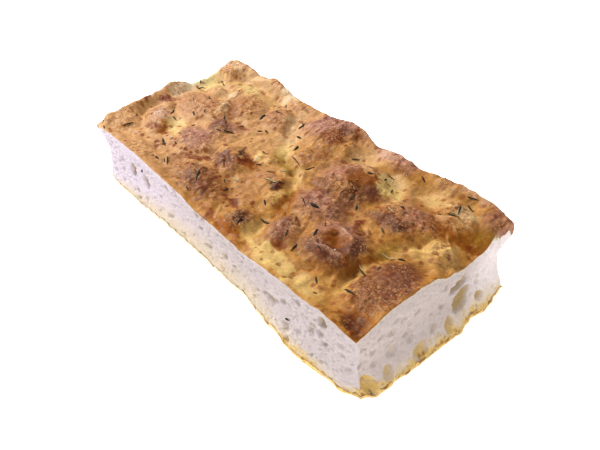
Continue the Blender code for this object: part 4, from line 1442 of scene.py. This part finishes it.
def add_dots(tree, scale, core, rim):
    """Round dots at the middles of scattered cells, scaled per metre."""
    place = tree.nodes.new("ShaderNodeTexCoord")
    cells = tree.nodes.new("ShaderNodeTexVoronoi")
    cells.inputs["Scale"].default_value = scale
    tree.links.new(place.outputs["Object"], cells.inputs["Vector"])
    return add_range(tree, cells.outputs["Distance"], core, rim, 1, 0)


def add_bump(tree, shader, height, distance, strength):
    """Roughens the shader's surface by a height value, to the given depth."""
    bump = tree.nodes.new("ShaderNodeBump")
    set_values(bump, {"Distance": distance, "Strength": strength})
    tree.links.new(height, bump.inputs["Height"])
    tree.links.new(bump.outputs["Normal"], shader.inputs["Normal"])


def add_shade(tree, colour, value, low, high, darkest, lightest):
    """Multiplies a colour by a factor that follows a value."""
    return add_mix(tree, 1.0, colour, add_range(tree, value, low, high, darkest, lightest), "MULTIPLY")


def crust_material():
    """Oily baked skin: the tone, fine mottling, pale pin-head blisters that are partly painted glints, and an
    uneven sheen.
    """
    values = {"Specular IOR Level": 0.2, "Specular Tint": (1.0, 0.75, 0.45, 1)}
    material, tree, shader, tone = new_material("baked_crust", values)
    fine = add_noise(tree, 1150, 4)
    broad = add_noise(tree, 420, 3)
    calm = add_range(tree, fine, 0.33, 0.67, 0.8, 1.18)
    rough = add_range(tree, fine, 0.33, 0.67, 0.5, 1.5)
    grain = add_mix(tree, tone.outputs["Alpha"], calm, rough)
    colour = add_mix(tree, 1.0, tone.outputs["Color"], grain, "MULTIPLY")
    colour = add_shade(tree, colour, broad, 0.3, 0.7, 0.86, 1.14)
    dots = add_math(tree, "MAXIMUM", add_dots(tree, 820, 0.20, 0.46), add_dots(tree, 430, 0.10, 0.27))
    pins_and_glints = add_math(tree, "MULTIPLY", dots, tone.outputs["Alpha"])
    pins_and_glints = add_math(tree, "MULTIPLY", pins_and_glints, add_range(tree, broad, 0.38, 0.55, 0.3, 1))
    # The pale paint of the pin-heads is partly their own colour and partly a painted glint.
    colour = add_mix(tree, pins_and_glints, colour, add_mix(tree, 0.7, colour, PIN_AND_GLINT_PAINT))
    tree.links.new(colour, shader.inputs["Base Color"])
    tree.links.new(add_range(tree, broad, 0.3, 0.7, 0.42, 0.68), shader.inputs["Roughness"])
    height = add_math(tree, "ADD", add_math(tree, "MULTIPLY", fine, 0.5), pins_and_glints)
    add_bump(tree, shader, height, 0.22 * MM, 0.8)
    return material


def crumb_material():
    """Soft matt crumb with a fine porous grain."""
    material, tree, shader, tone = new_material("crumb", CRUMB_VALUES)
    fine = add_noise(tree, 950, 4, 0.7)
    pores = add_noise(tree, 420, 2)
    colour = add_shade(tree, tone.outputs["Color"], fine, 0.3, 0.65, 0.86, 1.06)
    tree.links.new(colour, shader.inputs["Base Color"])
    add_bump(tree, shader, add_mix(tree, 0.4, fine, pores), 0.4 * MM, 0.8)
    return material


def plain_material(name):
    """A listed plainer material: the tone with a fine grain, and a bump that follows it where the material has
    a bump depth.
    """
    scale, detail, darkest, lightest, depth, strength, values = PLAIN_MATERIALS[name]
    material, tree, shader, tone = new_material(name, values)
    fine = add_noise(tree, scale, detail)
    colour = add_shade(tree, tone.outputs["Color"], fine, 0.3, 0.7, darkest, lightest)
    tree.links.new(colour, shader.inputs["Base Color"])
    if depth:
        add_bump(tree, shader, fine, depth * MM, strength)
    return material


def scattered_needles():
    """The smaller needles, spread over the top with a least distance to each other."""
    draw = np.random.default_rng(NEEDLE_SEED)
    placed = list(LARGE_NEEDLES)
    reach_x = (LENGTH / 2 - NEEDLE_EDGE_MARGIN) / MM
    reach_y = (WIDTH / 2 - NEEDLE_EDGE_MARGIN) / MM
    while len(placed) < len(LARGE_NEEDLES) + SCATTERED_NEEDLES:
        x = draw.uniform(-reach_x, reach_x)
        y = draw.uniform(-reach_y, reach_y)
        turn = draw.uniform(-90, 90)
        length = draw.uniform(1.8, 3.6)
        if all(math.hypot(x - other[0], y - other[1]) * MM > NEEDLE_SPACING for other in placed):
            placed.append((x, y, turn, length, draw.uniform(0.5, 0.9)))
    return placed


def add_needle(shape, layer, surface, place, way, across, toward, length, half_width, bend, tone):
    """One slim, slightly bent leaf, laid on a surface that a ray in the direction toward meets."""
    loops = []
    for ring in range(NEEDLE_RINGS):
        s = ring / (NEEDLE_RINGS - 1) * 2 - 1
        spot = place + way * s * length / 2 + across * bend * s * s
        met, _, _, _ = surface.ray_cast(spot - toward * NEEDLE_REACH, toward)
        if met is None:
            continue
        girth = half_width * max(0.15, (1 - abs(s) ** 2.6) ** 0.8 * (1 - 0.25 * s))
        loop = []
        for side in range(NEEDLE_SIDES):
            angle = 2 * math.pi * side / NEEDLE_SIDES
            reach = across * math.cos(angle) * girth - toward * math.sin(angle) * girth * NEEDLE_FLATNESS
            vert = shape.verts.new(met - toward * NEEDLE_SINK * half_width + reach)
            lit = 1.5 if 0.3 < math.sin(angle) and math.cos(angle) < 0 else 0.9
            vert[layer] = (*(np.array(tone) * lit), 1)
            loop.append(vert)
        loops.append(loop)
    for lower, upper in zip(loops, loops[1:]):
        for side in range(NEEDLE_SIDES):
            after = (side + 1) % NEEDLE_SIDES
            shape.faces.new((lower[side], lower[after], upper[after], upper[side]))
    if loops:
        shape.faces.new(loops[0][::-1])
        shape.faces.new(loops[-1])


def make_herbs(crust, crumb):
    """All the dried leaves as one mesh: most on the crust, and two on the near cut face."""
    graph = bpy.context.evaluated_depsgraph_get()
    top = BVHTree.FromObject(crust, graph)
    front = BVHTree.FromObject(crumb, graph)
    draw = np.random.default_rng(HERB_SEED)
    shape = bmesh.new()
    layer = shape.verts.layers.float_color.new("tone")
    dark = scattered_needles()
    for number, (x, y, turn, length, breadth) in enumerate(dark + list(PALE_LEAVES)):
        picked = HERB_TONES[draw.choice(len(HERB_TONES), p=HERB_SHARES)]
        seen = linear(picked if number < len(dark) else PALE_LEAF_TONE)
        tone = crust_paint(seen)
        half_width = NEEDLE_HALF_WIDTH * breadth
        bend = draw.uniform(-0.05, 0.05) * length * MM
        way = Vector((math.cos(math.radians(turn)), math.sin(math.radians(turn)), 0))
        across = Vector((-way.y, way.x, 0))
        place = Vector((x * MM + MIDDLE_X, y * MM + MIDDLE_Y, 40 * MM))
        down = Vector((0, 0, -1))
        add_needle(shape, layer, top, place, way, across, down, length * MM, half_width, bend, tone)
    for x, z, turn, length in FRONT_NEEDLES:
        tone = linear(HERB_TONES[0]) / CRUMB_LIGHT
        way = Vector((math.cos(math.radians(turn)), 0, math.sin(math.radians(turn))))
        across = Vector((-way.z, 0, way.x))
        place = Vector((x * MM + MIDDLE_X, -WIDTH / 2, z * MM))
        inward = Vector((0, 1, 0))
        add_needle(shape, layer, front, place, way, across, inward, length * MM, NEEDLE_HALF_WIDTH, 0, tone)
    bmesh.ops.recalc_face_normals(shape, faces=shape.faces)
    return finish_shape(shape, "herb_needles")


def make_salt(crust):
    """A few small salt crystals, sunk a little into the crust."""
    surface = BVHTree.FromObject(crust, bpy.context.evaluated_depsgraph_get())
    draw = np.random.default_rng(SALT_SEED)
    shape = bmesh.new()
    layer = shape.verts.layers.float_color.new("tone")
    for x, y, size in SALT_GRAINS:
        start = Vector((x * MM + MIDDLE_X, y * MM + MIDDLE_Y, 100 * MM))
        met, _, _, _ = surface.ray_cast(start, Vector((0, 0, -1)))
        if met is None:
            continue
        turned = Euler(draw.uniform(0, math.pi, 3)).to_matrix().to_4x4()
        stretched = Matrix.Diagonal((*(size * MM * draw.uniform(0.35, 0.55, 3)), 1))
        grain = bmesh.ops.create_icosphere(shape, subdivisions=1, radius=1, matrix=stretched)
        for vert in grain["verts"]:
            vert.co = met + turned @ (vert.co * draw.uniform(0.85, 1.1))
            vert[layer] = SALT_PAINT
    bmesh.ops.recalc_face_normals(shape, faces=shape.faces)
    return finish_shape(shape, "salt_grains", smooth=False)


def finish_shape(shape, name, smooth=True):
    """Turns the built shape into an object of the scene."""
    mesh = bpy.data.meshes.new(name)
    shape.to_mesh(mesh)
    shape.free()
    if smooth:
        mesh.shade_smooth()
    piece = bpy.data.objects.new(name, mesh)
    bpy.context.scene.collection.objects.link(piece)
    return piece


def make_floor():
    """A white floor that glows a little."""
    bpy.ops.mesh.primitive_plane_add(size=6)
    floor = bpy.context.object
    floor.name = "floor"
    material = bpy.data.materials.new("floor")
    material.use_nodes = True
    values = {
        "Base Color": (0.96, 0.96, 0.96, 1),
        "Roughness": 0.9,
        "Specular IOR Level": 0.1,
        "Emission Color": (1, 1, 1, 1),
        "Emission Strength": FLOOR_GLOW,
    }
    set_values(material.node_tree.nodes["Principled BSDF"], values)
    floor.data.materials.append(material)


def make_camera():
    """The camera at the photograph's viewing angle."""
    data = bpy.data.cameras.new("camera")
    data.sensor_fit = "HORIZONTAL"
    data.sensor_width = SENSOR_WIDTH
    data.lens = LENS
    data.clip_start = 0.01
    camera = bpy.data.objects.new("camera", data)
    camera.location = CAMERA_PLACE
    camera.rotation_euler = (math.radians(90 + CAMERA_PITCH), 0, math.radians(CAMERA_YAW - 90))
    bpy.context.scene.collection.objects.link(camera)
    bpy.context.scene.camera = camera


def add_light(name, azimuth, elevation, distance, size, energy):
    """A square soft light that faces the slab. Azimuth is counted from +X towards +Y."""
    data = bpy.data.lights.new(name, "AREA")
    data.shape = "SQUARE"
    data.size = size
    data.energy = energy
    light = bpy.data.objects.new(name, data)
    around, up = math.radians(azimuth), math.radians(elevation)
    way = Vector((math.cos(around) * math.cos(up), math.sin(around) * math.cos(up), math.sin(up)))
    light.location = way * distance
    light.rotation_euler = way.to_track_quat("Z", "Y").to_euler()
    bpy.context.scene.collection.objects.link(light)


def light_scene():
    """White surroundings and the soft lights."""
    world = bpy.data.worlds.new("studio")
    world.use_nodes = True
    set_values(world.node_tree.nodes["Background"], {"Color": (1, 1, 1, 1), "Strength": WORLD_GLOW})
    bpy.context.scene.world = world
    for light in LIGHTS:
        add_light(*light)
    bpy.context.scene.view_settings.view_transform = "Standard"
    bpy.context.scene.view_settings.look = "None"


def main():
    """Builds the pieces with their materials, and the scene around them."""
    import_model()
    top_crust = make_layer("top_crust", CRUST_STEPS, 1, 4, CRUST_RINGS, place_top_crust)
    crumb = make_layer("crumb", CRUMB_STEPS, 10, 10, CRUMB_RINGS, place_crumb)
    underside = make_layer("underside_crust", UNDERSIDE_STEPS, 10, 1, UNDERSIDE_RINGS, place_underside)
    herbs = make_herbs(top_crust, crumb)
    salt = make_salt(top_crust)
    for piece, material in (
        (top_crust, crust_material()),
        (crumb, crumb_material()),
        (underside, plain_material("baked_underside")),
        (herbs, plain_material("dried_herb")),
        (salt, plain_material("salt")),
    ):
        piece.data.materials.append(material)
        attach(piece, "root")
    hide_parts("focaccia")
    make_floor()
    make_camera()
    light_scene()


main()
